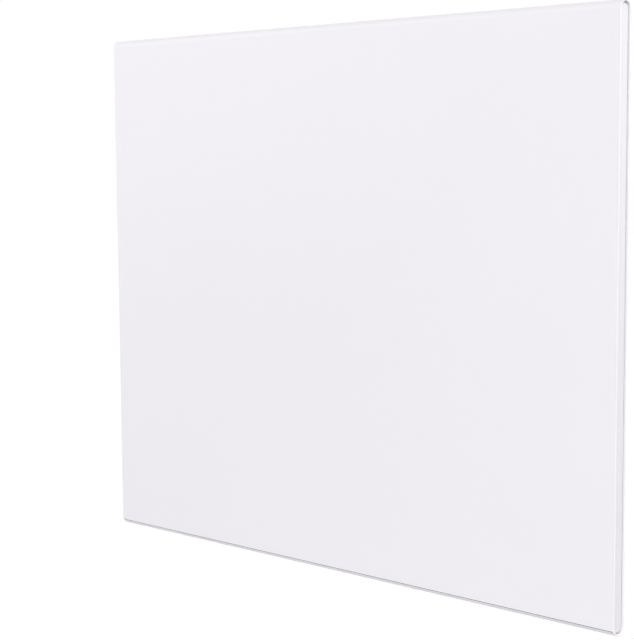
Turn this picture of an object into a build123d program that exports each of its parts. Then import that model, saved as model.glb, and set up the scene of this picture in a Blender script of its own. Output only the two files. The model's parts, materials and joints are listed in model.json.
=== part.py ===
from build123d import *
from math import cos, radians, sin, tan
import os

os.makedirs("parts", exist_ok=True)

# Wall panel convector heater, millimetres.
# x runs to the right seen from the room, y towards the wall, z up.
# The origin is the middle of the four wall screw holes, on the wall.

# Front panel
panel_width = 520.0
panel_height = 430.0
panel_depth = 13.0
panel_fold = 40.0               # flat fold along the lower front edge, degrees
sheet = 1.2                     # steel of panel, casing and grilles
panel_rim = 35.0                # back return around the panel's open back
rim_top = 30.0
cap_recess = 1.2                # end caps below the panel's ends
cap_plate = 3.0
cap_groove = 0.5                # open line round an end cap
cap_edge = 0.8
cap_spigot = 12.0
cap_spigot_wall = 1.5
cap_spigot_end = 25.0           # spigot's ends below the panel's edges

# Body behind the panel
wall_gap = 15.0
body_depth = 54.0
control_drop = 8.0              # control surface below the panel's top edge
end_step = 4.3                  # panel past the body's widest line, each end
end_slant = 38.0                # slant of the body's ends in plan, degrees
moulding = 2.5                  # wall of the moulded ends
end_chamfer = 0.8
casing_margin = 60.0            # casing's edge in from the panel's end
flange_width = 15.0
tongue_width = 15.0
tongue_reach = 12.0             # end's tongue behind the casing's edge
seam = 0.2                      # open line between neighbouring mouldings
over = 1.0                      # how far a cutting shape runs past what it cuts

# Air grilles
outlet_margin = 57.0            # left end of the outlet grille in from the panel's end
module_width = 158.5            # control end, from the panel's right end
grille_return = 10.0
slot_pitch = 9.5
slot_width = 5.3                # measured along x
slot_run = 2.35                 # x travelled for each mm of y
front_row = (2.1, 9.8)          # slot rows behind the panel's back
back_row = (12.0, 31.0)
slot_margin = 6.0               # slots in from the grille's left end
slot_edge = 1.5                 # slots cut off this far from the control end
inlet_slot = (3.6, 38.0)
inlet_pitch = 9.0
inlet_count = 42

# Control end
tray_depth = 35.0               # below the control surface
tray_wall = 2.0
tray_back_room = 7.4            # tray's back in from the casing's face
tray_back_wall = 1.0
tray_corner_in = 17.7           # front corner kept clear of the panel clip
tray_corner_step = 1.6
tray_border = 4.6               # left border with the slot for the flap's arm
lip_height = 0.7
lip_width = 1.4
arm_slot_width = 2.6
arm_slot_reach = 28.3           # slot's front end from the casing's face
arm_slot_depth = 11.0
fascia = 2.5
fascia_back_room = 3.0
button_offsets = (12.5, 109.0)  # key rows from the control end's left border
button_depths = (43.0, 28.0, 13.0)  # keys from the casing's face
button_radius = 6.35
button_room = 0.25
button_rise = 0.5
button_height = 5.3
button_travel = 1.0
key_room = 0.25                 # between a pressed key and its dome
window_offset = 52.7            # display from the control end's left border
window_size = (22.3, 18.4)
window_depth = 42.4             # display's front edge from the casing's face
window_room = 0.1
window_ledge = 1.6
window_thick = 1.5
light_radius = 1.2
light_offset = 35.8             # first light from the control end's left border
light_pitch = 11.15
light_count = 6
light_depth = 15.8
unlit_light = 4
board_thick = 1.6
board_drop = 12.0               # board's face below the control surface
board_edge = 3.0
board_corner_in = 27.7
board_back_room = 9.4
post_radius = 3.0
post_offsets = (22.5, 94.5)     # posts from the control end's left border
post_depths = (48.0, 20.0)      # posts from the casing's face
screw_radius = 1.4
screw_head = 2.6
screw_head_height = 1.4
key_switch = 6.0
key_switch_rise = 2.0
mat_sheet = 1.0
mat_window_room = (5.0, 4.0)    # mat's window past the posts
mat_window_depths = (47.0, 5.0)
dome_base = 4.2
dome_top = 3.0
module_height = 9.6

# Flap over the controls
flap_thick = 1.8
flap_clear = 1.2                # under the closed flap
flap_side = 0.6                 # flap beyond the slanted end
flap_front_room = 0.6
flap_bend = 8.0                 # inside radius of the turned down root
flap_overhang = 4.0             # flap's back past the casing's face
flap_leg = 1.0
flap_root_room = 0.3            # root's near end to the slanted wall
hinge_depth = 3.6
hinge_drop = 5.5
pin_radius = 1.0
pin_play = 0.08
knuckle = 2.4
arm_thick = 1.8
arm_room = 0.4
far_arm_play = 0.5              # beside the far arm in its slot
near_arm_in = 50.5              # near arm in from the body's widest line
far_arm_reach = 27.0            # fin's tip from the casing's face
wedge_angles = (45, 30, 0, -6)  # where the flap's arms meet its bend, degrees
support_thick = 2.2
support_drop = 0.7              # support's top below the hinge
support_deep = 2.2
button_notch = 0.6              # round a button in the tray's back wall
notch_depth = 13.5              # back cut away for the flap's root

# Rocker switch in its pocket
pocket_inset = 30.7             # pocket's floor in from the body's widest line
pocket_reach = 38.6             # pocket's front wall from the casing's face
pocket_height = 47.0
pocket_drop = 64.5              # pocket's middle below the body's top
pocket_wall = 2.0
groove_reach = (14.0, 12.4)     # groove's sides from the casing's face
groove_depth = 4.0              # below the pocket's floor
groove_turn = (2.6, 1.3)        # its short arm at the top: length and height
switch_reach = 25.7             # switch's middle from the casing's face
switch_drop = 62.9
bezel_half = (7.6, 19.8)
bezel_thick = 1.5
switch_half = (6.0, 17.2)
switch_depth = 20.0
switch_room = 0.05
rocker_half = (4.8, 15.4)
rocker_room = (0.25, 1.0)
pivot_depth = 3.0               # rocker's pin below the pocket's floor
rocker_tilt = 7.0
rocker_face = 6.6
rocker_dip = 1.4
rocker_root = 3.0
rocker_skirt = (5.0, 0.6)        # depth and draft of the rocker's ends
switch_hollow = 11.0
rocker_pin_radius = 0.9
rocker_pin_play = 0.07
tab_size = (9.0, 4.8, 0.8)
tab_heights = (-9.5, 0.0, 9.5)

# Fixings between panel and ends
clip_drop = 10.0
clip_height = 7.0
clip_thick = 1.4
clip_in = (15.7, 2.5)           # clip's ends in from the body's widest line
clip_room = 1.0
side_screw_drop = 42.5
side_screw_along = 4.6
side_screw_radius = 1.8
side_screw_room = 0.35
side_screw_length = 3.4

# Heating element and baffle
element_depth = 30.0            # rod from the casing's face
element_rise = 92.0             # rod above the body's bottom
rod_radius = 3.5
rod_margins = (8.0, 24.0)       # rod's ends in from the casing's edges
sleeve_radius = 6.0
fin_size = (1.2, 34.0, 44.0)
fin_pitch = 8.0
fin_start = 36.0                # outer fins in from the rod's ends
stud_radius = 1.6
stud_length = 10.0
bush_radius = 6.0
bush_length = 14.0
bracket_plate = 1.5
bracket_height = 30.0
bracket_reach = 12.0
bracket_foot = 14.0
bracket_in = 12.0               # brackets in from the rod's ends
baffle_in = (34.0, 36.0)        # baffle's ends in from the rod's ends
baffle_below = 50.0             # baffle's low edge below the rod
baffle_room = 10.0              # baffle's high edge below the power board
baffle_thick = 0.8
baffle_gap = 8.2
cutout_place = (60.0, 75.0)     # from the middle and above the rod
cutout_radius = 8.0
cutout_height = 6.0
cutout_tab = (2.0, 6.0, 6.0)

# Electrical parts on the back wall
board_size = (70.0, 80.0)       # power board
board_place = (80.0, 97.0)      # its left and top edges, in from casing and control surface
board_gap = 7.8
spacer_radius = 3.0
spacer_inset = 5.0
relay_box = (8.0, 26.0, 50.0, 68.0, 15.4)  # on the board: left, right, low, high, height
transformer_box = (35.0, 60.0, 6.0, 30.0, 22.4)
core_band = 6.0
core_rise = 1.0
capacitor_place = (20.0, 28.0)
capacitor_radius = 6.0
capacitor_height = 15.4
sink_box = (46.0, 64.0, 40.0, 66.0)
sink_fin = 1.5
sink_pitch = 4.0
sink_height = 14.0
connector_box = (29.0, 41.0, 54.0, 64.0, 8.4)
outlet_box = (4.0, 26.0, 0.0, 10.0, 10.4)
ribbon_thick = 0.6
ribbon_width = 9.0
ribbon_rise = 4.9               # ribbon above the power board
ribbon_slot_room = 1.0
block_size = (42.0, 20.0)
block_place = (14.0, 137.0)     # right end in from the casing's edge, bottom above the body's bottom
block_height = 17.8
block_screw_radius = 2.2
block_screw_rise = 1.2
block_poles = 3
block_groove = (2.0, 3.0)
gland_in = (28.0, 42.0)         # from the casing's edge and the body's bottom
gland_flange = 9.0
gland_neck = 6.5
gland_bore = 3.6
gland_rise = 4.0
earth_size = (10.0, 12.0, 3.0)
earth_in = (26.0, 195.0)        # left end from the casing's edge, low end above the body's bottom
wire_radius = 1.2
sensor_holder = (12.0, 12.0, 6.0)
sensor_in = (22.0, 17.0)        # holder's left end from the casing's edge, its front from the panel
sensor_radius = 2.4
sensor_length = 16.0
casing_screw_in = 6.0
casing_screw_ends = (27.0, 37.0)  # lowest and highest screws in from the body's bottom and top
casing_screw_radius = 1.5
casing_screw_head = 3.0
casing_screw_rise = 1.8

# Wall bracket
screw_spacing = (240.0, 180.0)
screw_hole = 2.6
bracket_sheet = 1.5
bar_width = 30.0
bar_height = 230.0
hook_width = 16.0
hook_z = (60.0, -60.0)
hook_lip = 6.5
hook_inside = 5.0
hook_slot_room = 1.0
hook_slot_height = 9.0

# Places that follow from the sizes above
body_back = -wall_gap
panel_back = body_back - body_depth
panel_middle = panel_back - panel_depth / 2
body_top = panel_height / 2 - control_drop
body_bottom = -body_top
slant_start = panel_width / 2 - end_step
casing_half = panel_width / 2 - casing_margin
casing_inside = body_back - sheet
slant = tan(radians(end_slant))
tongue_start = casing_half - tongue_reach
outlet_left = outlet_margin - panel_width / 2
module_start = panel_width / 2 - module_width

fascia_under = body_top - fascia
fascia_back = body_back - fascia_back_room
tray_floor = body_top - tray_depth
tray_back = body_back - tray_back_room
tray_corner = slant_start - tray_corner_in
arm_slot_front = body_back - arm_slot_reach
arm_slot_floor = body_top - arm_slot_depth
button_rows = [module_start + offset for offset in button_offsets]
button_columns = [body_back - depth for depth in button_depths]
window_x = (module_start + window_offset, module_start + window_offset + window_size[0])
window_y = (body_back - window_depth, body_back - window_depth + window_size[1])
light_first = module_start + light_offset
light_y = body_back - light_depth
board_top = body_top - board_drop
board_under = board_top - board_thick
board_corner = slant_start - board_corner_in
board_back = body_back - board_back_room
post_points = [(module_start + offset, body_back - depth) for offset in post_offsets for depth in post_depths]
key_top = board_top + key_switch_rise
mat_window_x = (module_start + post_offsets[0] + mat_window_room[0],
                module_start + post_offsets[1] + mat_window_room[1])
mat_window_y = [body_back - depth for depth in mat_window_depths]

flap_back = body_back + flap_overhang
hinge_y = body_back - hinge_depth
hinge_z = body_top - hinge_drop
far_arm = module_start + far_arm_play
near_arm = slant_start - near_arm_in
near_support = near_arm + arm_thick + arm_room
support_top = hinge_z - support_drop
support_bottom = support_top - support_deep
notch_floor = body_top - notch_depth

pocket_floor = slant_start - pocket_inset
pocket_front = body_back - pocket_reach
switch_y = body_back - switch_reach
switch_z = body_top - switch_drop
pocket_z = (body_top - pocket_drop - pocket_height / 2, body_top - pocket_drop + pocket_height / 2)
groove_floor = pocket_floor - groove_depth
groove_y = (body_back - groove_reach[0], body_back - groove_reach[1])
rocker_pivot = pocket_floor - pivot_depth
switch_floor = pocket_floor - switch_hollow
clip_z = body_top - clip_drop
clip_start = slant_start - clip_in[0]
clip_end = slant_start - clip_in[1]
side_screw_z = body_top - side_screw_drop

element_y = body_back - element_depth
element_z = body_bottom + element_rise
rod_ends = (rod_margins[0] - casing_half, casing_half - rod_margins[1])
fin_first = rod_ends[0] + fin_start
fin_count = int((rod_ends[1] - fin_first - fin_start) / fin_pitch) + 1
bracket_x = (rod_ends[0] + bracket_in, rod_ends[1] - bracket_in)
baffle_x = (rod_ends[0] + baffle_in[0], rod_ends[1] - baffle_in[1])
board_x = (casing_half - board_place[0], casing_half - board_place[0] + board_size[0])
board_z = (body_top - board_place[1] - board_size[1], body_top - board_place[1])
baffle_z = (element_z - baffle_below, board_z[0] - baffle_room)
board_face = casing_inside - board_gap - board_thick
ribbon_x = board_x[0] + (connector_box[0] + connector_box[1]) / 2
ribbon_y = board_face - ribbon_rise
block_x = (casing_half - block_place[0] - block_size[0], casing_half - block_place[0])
block_z = (body_bottom + block_place[1], body_bottom + block_place[1] + block_size[1])
gland_place = (casing_half - gland_in[0], body_bottom + gland_in[1])
earth_place = (casing_half - earth_in[0], body_bottom + earth_in[1])
sensor_place = (casing_half - sensor_in[0], panel_back + sensor_in[1])
casing_screw_x = casing_half - casing_screw_in
casing_screw_z = (body_bottom + casing_screw_ends[0], 0.0, body_top - casing_screw_ends[1])


def slant_x(y, inward=0.0):
    # x of the slanted end at depth y, or of a line a distance inward from it
    return slant_start - (y - panel_back) * slant - inward / cos(radians(end_slant))


def block(x0, x1, y0, y1, z0, z1):
    return Pos((x0 + x1) / 2, (y0 + y1) / 2, (z0 + z1) / 2) * Box(abs(x1 - x0), abs(y1 - y0), abs(z1 - z0))


def plan_prism(points, z0, z1):
    outline = make_face(Polyline(*points, close=True))
    return extrude(Pos(0, 0, z0) * outline, amount=z1 - z0)


def side_prism(points, x0, x1):
    # points are (y, z), extruded along x
    outline = make_face(Polyline(*points, close=True))
    return extrude(Plane.YZ.offset(x0) * outline, amount=x1 - x0)


def rod(radius, start, end):
    axis = Vector(*end) - Vector(*start)
    place = Plane(origin=start, z_dir=axis)
    return extrude(place * Circle(radius), amount=axis.length)


def tube(outer, inner, start, end):
    return rod(outer, start, end) - rod(inner, start, end)


def panel_slot(height, depth):
    # round nosed section of the panel, on the yz plane
    return Plane.YZ * Pos(panel_middle, 0) * SlotOverall(height, depth, rotation=90)


# Front panel and its end caps

def panel_fold_prism():
    # fills the corner between the face and the round lower edge up to the fold's flat
    radius = panel_depth / 2
    centre = radius - panel_height / 2
    angle = radians(panel_fold)
    touch = (panel_middle - radius * cos(angle), centre - radius * sin(angle))
    face = panel_middle - radius
    corner = (face, centre - radius * tan(angle / 2))
    return side_prism(((panel_middle, centre), (face, centre), corner, touch),
                      -panel_width / 2, panel_width / 2)


def make_front_panel():
    skin = extrude(panel_slot(panel_height, panel_depth), amount=panel_width / 2, both=True)
    skin += panel_fold_prism()
    inside = panel_slot(panel_height - 2 * sheet, panel_depth - 2 * sheet)
    skin -= extrude(inside, amount=panel_width / 2, both=True)
    open_x = panel_width / 2 - panel_rim
    open_z = panel_height / 2 - rim_top
    skin -= block(-open_x, open_x, panel_back - 2 * sheet, panel_back + sheet, -open_z, open_z)
    return skin


def make_end_cap():
    gap = 2 * (sheet + cap_groove)
    outer = panel_width / 2 - cap_recess
    outline = panel_slot(panel_height - gap, panel_depth - gap)
    cap = extrude(Pos(outer - cap_plate, 0, 0) * outline, amount=cap_plate)
    cap = chamfer(cap.faces().sort_by(Axis.X)[-1].edges(), cap_edge)
    for side in (-1, 1):
        face = panel_middle + side * (panel_depth / 2 - sheet)
        inner = face - side * cap_spigot_wall
        half = panel_height / 2 - cap_spigot_end
        cap += block(outer - cap_plate - cap_spigot, outer - cap_plate + cap_edge, face, inner, -half, half)
    return cap


# Body: ends, back and grilles

def make_end_shell():
    # right-hand moulded end, its slanted wall with flanges to panel and casing
    wall = plan_prism(((slant_x(panel_back), panel_back), (slant_x(body_back), body_back),
                       (slant_x(body_back, moulding), body_back),
                       (slant_x(panel_back, moulding), panel_back)), body_bottom, fascia_under)
    front = slant_x(panel_back, moulding / 2)
    wall += block(front - flange_width, front, panel_back, panel_back + moulding,
                  body_bottom, tray_floor - seam)
    wall += block(casing_half + seam, slant_x(body_back, moulding / 2), body_back - moulding, body_back,
                  body_bottom, notch_floor)
    wall += block(tongue_start, tongue_start + tongue_width, casing_inside - moulding, casing_inside,
                  body_bottom + moulding, notch_floor)
    front = panel_back + seam
    wall += plan_prism(((casing_half + seam, front), (slant_x(front), front),
                        (slant_x(body_back), body_back), (casing_half + seam, body_back)),
                       body_bottom, body_bottom + moulding)
    return wall


def side_fixing_cuts(height, sign):
    # hook slot and screw hole beside the panel
    half = (clip_height + clip_room) / 2
    cuts = block(clip_start, slant_start + moulding, panel_back, panel_back + clip_thick + clip_room,
                 sign * height - half, sign * height + half)
    start, end = side_screw_line(sign)
    return cuts + rod(side_screw_radius + side_screw_room, start, end + (end - start))


def slant_directions():
    # out of the slanted wall and along it towards the back
    angle = radians(end_slant)
    return Vector(cos(angle), sin(angle), 0), Vector(-sin(angle), cos(angle), 0)


def side_screw_line(sign):
    out, along = slant_directions()
    face = Vector(slant_start, panel_back, sign * side_screw_z) + along * side_screw_along
    start = face - out * side_screw_length
    return start, face - out * side_screw_room


def top_chamfer(top):
    # wedge taken off the outer top edge of the slanted wall
    out, along = slant_directions()
    edge = Plane(origin=(slant_start, panel_back, top), x_dir=out, z_dir=along)
    corner = make_face(Polyline((-end_chamfer, 0), (end_chamfer, -end_chamfer),
                                (end_chamfer, end_chamfer * 2), (0, end_chamfer), close=True))
    return extrude(edge * corner, amount=body_depth * 2, both=True)


def groove_backing(low, high):
    # thicker wall behind the groove at the pocket's back edge
    inner = groove_floor - pocket_wall
    front, back = groove_y[0] - pocket_wall, groove_y[1] + pocket_wall
    outline = ((inner, front), (slant_x(front), front), (slant_x(back), back), (inner, back))
    return plan_prism(outline, low, high)


def groove_cut():
    length, height = groove_turn
    cut = block(groove_floor, slant_start, *groove_y, *pocket_z)
    cut += block(groove_floor, slant_start, groove_y[0] - length, groove_y[1],
                 pocket_z[1] - height, pocket_z[1])
    return cut


def make_right_end():
    shell = make_end_shell()
    inner = pocket_floor - pocket_wall
    low, high = pocket_z[0] - pocket_wall, pocket_z[1] + pocket_wall
    inside = plan_prism(((inner, panel_back), (slant_start, panel_back),
                         (inner, panel_back + (slant_start - inner) / slant)), low, high)
    shell += inside & block(inner, slant_start, pocket_front - pocket_wall, body_back, low, high)
    shell += groove_backing(low, high)
    shell -= block(pocket_floor, slant_start, pocket_front, body_back, *pocket_z)
    shell -= groove_cut()
    shell -= block(pocket_floor - 2 * pocket_wall, pocket_floor + pocket_wall,
                   switch_y - switch_half[0] - switch_room, switch_y + switch_half[0] + switch_room,
                   switch_z - switch_half[1] - switch_room, switch_z + switch_half[1] + switch_room)
    front = panel_back + seam
    shell += plan_prism(((slant_x(front), front), (slant_x(fascia_back), fascia_back),
                         (slant_x(fascia_back, moulding), fascia_back), (slant_x(front, moulding), front)),
                        fascia_under, body_top)
    shell -= top_chamfer(body_top)
    shell -= side_fixing_cuts(clip_z, 1)
    shell -= side_fixing_cuts(clip_z, -1)
    return shell


def make_left_end():
    shell = make_end_shell()
    shell += block(casing_half + seam, slant_x(body_back, moulding / 2), body_back - moulding, body_back,
                   notch_floor, fascia_under)
    front = panel_back + seam
    shell += plan_prism(((-outlet_left + seam, front), (slant_x(front), front),
                         (slant_x(body_back), body_back), (-outlet_left + seam, body_back)),
                        fascia_under, body_top)
    shell -= top_chamfer(body_top)
    shell -= side_fixing_cuts(clip_z, 1)
    shell -= side_fixing_cuts(clip_z, -1)
    return mirror(shell, about=Plane.YZ)


def hook_slots():
    cuts = []
    for side in (-1, 1):
        for height in hook_z:
            middle = side * screw_spacing[0] / 2
            half = hook_width / 2 + hook_slot_room
            cuts.append(block(middle - half, middle + half, casing_inside - sheet, body_back + sheet,
                              height - hook_slot_height, height))
    return cuts


def casing_screw_places():
    return [(side * casing_screw_x, height) for side in (-1, 1) for height in casing_screw_z]


def make_rear_casing():
    wall = block(-casing_half, casing_half, casing_inside, body_back, body_bottom + sheet, body_top - sheet)
    wall -= block(module_start - seam, casing_half + over, casing_inside - over, body_back + over,
                  notch_floor, body_top)
    for cut in hook_slots():
        wall -= cut
    for x, z in casing_screw_places():
        wall -= rod(casing_screw_radius, (x, casing_inside - over, z), (x, body_back + over, z))
    x, z = gland_place
    return wall - rod(gland_neck, (x, casing_inside - over, z), (x, body_back + over, z))


def slanted_slots(row, start, stop):
    # the last slots are cut off at the stop
    near = panel_back + row[0]
    far = panel_back + row[1]
    shift = (far - near) * slot_run
    field = block(start, stop, near, far, body_top - 2 * sheet, body_top + sheet)
    slots = []
    for index in range(int((stop - start - slot_width) / slot_pitch) + 1):
        x = start + index * slot_pitch
        outline = ((x, near), (x + slot_width, near), (x + slot_width + shift, far), (x + shift, far))
        slots.append(plan_prism(outline, body_top - 2 * sheet, body_top + sheet) & field)
    return slots


def make_outlet_grille():
    right = module_start - seam
    top = body_top - sheet
    plate = block(outlet_left, right, panel_back, body_back, top, body_top)
    plate += block(outlet_left, right, panel_back, panel_back + sheet, top - grille_return, top)
    plate += block(-tongue_start, right, casing_inside - sheet, casing_inside, top - grille_return, top)
    slots = slanted_slots(front_row, outlet_left + slot_margin, right - slot_edge)
    slots += slanted_slots(back_row, outlet_left + slot_margin, right - slot_edge)
    return plate - slots


def make_inlet_grille():
    bottom = body_bottom + sheet
    plate = block(-casing_half, casing_half, panel_back, body_back, body_bottom, bottom)
    plate += block(-casing_half, casing_half, panel_back, panel_back + sheet, bottom, bottom + grille_return)
    plate += block(-tongue_start, tongue_start, casing_inside - sheet, casing_inside,
                   bottom, bottom + grille_return)
    middle = (panel_back + body_back) / 2
    cuts = []
    for index in range(inlet_count):
        x = (index - (inlet_count - 1) / 2) * inlet_pitch
        cuts.append(Pos(x, middle, body_bottom) * Box(inlet_slot[0], inlet_slot[1], 4 * sheet))
    return plate - cuts


# Control end

def tray_outline(inward, back_inward):
    left = module_start + seam / 2 + inward
    front = panel_back + seam + inward
    step = front + tray_corner_step
    back = tray_back - back_inward
    return ((left, front), (tray_corner - inward, front), (tray_corner - inward, step),
            (slant_x(step, moulding + seam + inward), step),
            (slant_x(back, moulding + seam + inward), back), (left, back))


def make_control_tray():
    tray = plan_prism(tray_outline(0, 0), tray_floor, fascia_under)
    cavity = plan_prism(tray_outline(tray_wall, tray_back_wall), tray_floor + tray_wall, fascia_under)
    cavity -= block(module_start, module_start + tray_border, panel_back, 0, tray_floor, body_top)
    tray -= cavity
    left = module_start + seam / 2
    tray += block(left, module_start + tray_border, panel_back + seam, tray_back, fascia_under, body_top)
    tray += block(left, left + lip_width, panel_back + seam, arm_slot_front - lip_width,
                  body_top, body_top + lip_height)
    tray -= block(left - over, module_start + arm_slot_width, arm_slot_front, 0,
                  arm_slot_floor, body_top + over)
    far_support = module_start + arm_slot_width
    for x in button_rows:
        half = button_radius + button_notch
        tray -= block(x - half, x + half, button_columns[2] - half, tray_back, support_top, fascia_under)
    for start in (far_support, near_support):
        tray += block(start, start + support_thick, tray_back - tray_back_wall, hinge_y, support_bottom,
                      support_top)
        tray += rod(knuckle, (start, hinge_y, hinge_z), (start + support_thick, hinge_y, hinge_z))
    for x, y in post_points:
        tray += rod(post_radius, (x, y, tray_floor), (x, y, board_under))
        tray -= rod(screw_radius, (x, y, tray_floor + tray_wall), (x, y, board_under))
    tray -= rod(pin_radius, (module_start, hinge_y, hinge_z), (slant_start, hinge_y, hinge_z))
    half = ribbon_width / 2 + ribbon_slot_room
    room = ribbon_slot_room + ribbon_thick
    tray -= block(ribbon_x - half, ribbon_x + half, ribbon_y - room, ribbon_y + room,
                  tray_floor - over, tray_floor + tray_wall + over)
    return tray


def button_centres():
    return [(x, y) for x in button_rows for y in button_columns]


def light_centres():
    return [(light_first + index * light_pitch, light_y) for index in range(light_count)]


def make_fascia():
    start = module_start + tray_border + seam
    front = panel_back + seam
    inset = moulding + seam
    plate = plan_prism(((start, front), (slant_x(front, inset), front),
                        (slant_x(fascia_back, inset), fascia_back), (start, fascia_back)),
                       fascia_under, body_top)
    for x, y in button_centres():
        plate -= rod(button_radius + button_room, (x, y, fascia_under), (x, y, body_top))
    for x, y in light_centres():
        plate -= rod(light_radius, (x, y, fascia_under), (x, y, body_top))
    plate -= block(window_x[0] - window_room, window_x[1] + window_room, window_y[0] - window_room,
                   window_y[1] + window_room, body_top - window_thick, body_top)
    plate -= block(window_x[0] + window_ledge, window_x[1] - window_ledge, window_y[0] + window_ledge,
                   window_y[1] - window_ledge, fascia_under, body_top)
    return plate


def make_button(x, y):
    top = body_top + button_rise
    cap = rod(button_radius, (x, y, top - button_height), (x, y, top))
    return chamfer(cap.faces().sort_by(Axis.Z)[-1].edges(), button_rise / 2)


def board_outline(back):
    front = panel_back + tray_wall + 2 * seam
    left = module_start + tray_border + seam
    near = slant_x(back, moulding + tray_wall + 2 * seam) - 2 * seam
    return (left + board_edge, front), (board_corner, front), (near, back), (left + board_edge, back)


def make_control_board():
    board = plan_prism(board_outline(board_back), board_under, board_top)
    for x, y in post_points:
        board -= rod(screw_radius, (x, y, board_under), (x, y, board_top))
    return board


def make_board_screws():
    screws = []
    for x, y in post_points:
        screws.append(rod(screw_radius, (x, y, tray_floor + tray_wall), (x, y, board_top))
                      + rod(screw_head, (x, y, board_top), (x, y, board_top + screw_head_height)))
    return Compound(children=screws)


def make_key_switches():
    half = key_switch / 2
    return Compound(children=[block(x - half, x + half, y - half, y + half, board_top, key_top)
                              for x, y in button_centres()])


def make_key_mat():
    mat = plan_prism(board_outline(board_back), key_top, key_top + mat_sheet)
    mat -= block(*mat_window_x, *mat_window_y, key_top, key_top + mat_sheet)
    mat -= block(module_start + post_offsets[0] - post_radius, mat_window_x[0], *mat_window_y,
                 key_top, key_top + mat_sheet)
    top = body_top + button_rise - button_height - button_travel - key_room
    for x, y in button_centres():
        base = key_top + mat_sheet
        mat += Pos(x, y, (base + top) / 2) * Cone(dome_base, dome_top, top - base)
    return mat


def make_display_window():
    return block(*window_x, *window_y, body_top - window_thick, body_top)


def make_display_module():
    inset = window_ledge / 2
    return block(window_x[0] + inset, window_x[1] - inset, window_y[0] + inset, window_y[1] - inset,
                 board_top, board_top + module_height - board_thick)


def make_lights(lit):
    chosen = [place for index, place in enumerate(light_centres()) if (index != unlit_light) == lit]
    return Compound(children=[rod(light_radius, (x, y, board_top), (x, y, body_top)) for x, y in chosen])


# Flap

def flap_root_centre():
    return flap_back - flap_thick - flap_bend, body_top + flap_clear - flap_bend


def make_flap():
    under = body_top + flap_clear
    top = under + flap_thick
    front = panel_back + flap_front_room
    centre_y, centre_z = flap_root_centre()
    far = far_arm
    near = slant_x(body_back, moulding) - flap_root_room
    outer = flap_bend + flap_thick
    plate = plan_prism(((far, front), (slant_x(front, -flap_side), front),
                        (slant_x(body_back, -flap_side), body_back),
                        (near, body_back), (near, centre_y), (far, centre_y)), under, top)
    bend = tube(outer, flap_bend, (far, centre_y, centre_z), (near, centre_y, centre_z))
    bend &= block(far, near, centre_y, 0, centre_z, top)
    leg = block(far, near, centre_y + flap_bend, centre_y + outer, centre_z - flap_leg, centre_z)
    flap = plate + bend + leg
    flap += flap_far_arm(under)
    flap += flap_wedge(near_arm)
    for start in (far_arm, near_arm):
        flap -= rod(pin_radius + pin_play, (start, hinge_y, hinge_z), (start + arm_thick, hinge_y, hinge_z))
    return flap


def flap_wedge(start):
    # arm from the root's bend down to the pin
    centre_y, centre_z = flap_root_centre()
    reach = flap_bend + flap_thick / 2
    points = [(hinge_y, hinge_z + knuckle), (hinge_y + knuckle / 2, hinge_z + knuckle)]
    for angle in wedge_angles:
        points.append((centre_y + reach * cos(radians(angle)), centre_z + reach * sin(radians(angle))))
    points.append((hinge_y, hinge_z - knuckle))
    return side_prism(points, start, start + arm_thick) + rod(
        knuckle, (start, hinge_y, hinge_z), (start + arm_thick, hinge_y, hinge_z))


def flap_far_arm(under):
    # curved fin between plate and pin at the flap's left end
    low = (hinge_y - knuckle, hinge_z)
    tip = (body_back - far_arm_reach, under)
    curve = ThreePointArc(tip, ((tip[0] + low[0]) / 2 + knuckle, (tip[1] + low[1]) / 2 + knuckle / 2), low)
    centre_y, centre_z = flap_root_centre()
    inner, top = flap_back - flap_thick, under + flap_thick / 2
    corner = (flap_bend + flap_thick / 2) * cos(radians(45))
    edge = Polyline(low, (hinge_y, hinge_z), (inner, hinge_z), (centre_y + corner, centre_z + corner),
                    (centre_y, top), (tip[0], top), tip)
    fin = extrude(Plane.YZ.offset(far_arm) * make_face(curve + edge), amount=arm_thick)
    return fin + flap_wedge(far_arm)


def make_flap_pins():
    pins = [rod(pin_radius, (far_arm - seam / 2, hinge_y, hinge_z),
                (module_start + arm_slot_width + support_thick, hinge_y, hinge_z)),
            rod(pin_radius, (near_arm - arm_room, hinge_y, hinge_z),
                (near_support + support_thick, hinge_y, hinge_z))]
    return Compound(children=pins)


# Rocker switch

def make_switch_body():
    half_y, half_z = switch_half
    body = block(pocket_floor - switch_depth, pocket_floor, switch_y - half_y, switch_y + half_y,
                 switch_z - half_z, switch_z + half_z)
    body += block(pocket_floor, pocket_floor + bezel_thick, switch_y - bezel_half[0],
                  switch_y + bezel_half[0], switch_z - bezel_half[1], switch_z + bezel_half[1])
    open_y = rocker_half[0] + rocker_room[0]
    open_z = rocker_half[1] + rocker_room[1]
    body -= block(switch_floor, pocket_floor + bezel_thick, switch_y - open_y, switch_y + open_y,
                  switch_z - open_z, switch_z + open_z)
    return body - rod(rocker_pin_radius, (rocker_pivot, switch_y - half_y, switch_z),
                      (rocker_pivot, switch_y + half_y, switch_z))


def make_rocker():
    half_y, half_z = rocker_half
    skirt_x = rocker_face - rocker_skirt[0]
    skirt_z = half_z - rocker_skirt[1]
    side = ((rocker_face, half_z), (rocker_face - rocker_dip, 0), (rocker_face, -half_z), (skirt_x, -skirt_z),
            (-rocker_root, -half_z / 3), (-rocker_root, half_z / 3), (skirt_x, skirt_z))
    face = make_face(Polyline(*side, close=True))
    solid = extrude(Plane.XZ * face, amount=half_y, both=True)
    solid -= rod(rocker_pin_radius + rocker_pin_play, (0, -half_y, 0), (0, half_y, 0))
    return Pos(rocker_pivot, switch_y, switch_z) * Rot(0, -rocker_tilt, 0) * solid


def make_rocker_pin():
    return rod(rocker_pin_radius, (rocker_pivot, switch_y - switch_half[0], switch_z),
               (rocker_pivot, switch_y + switch_half[0], switch_z))


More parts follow.
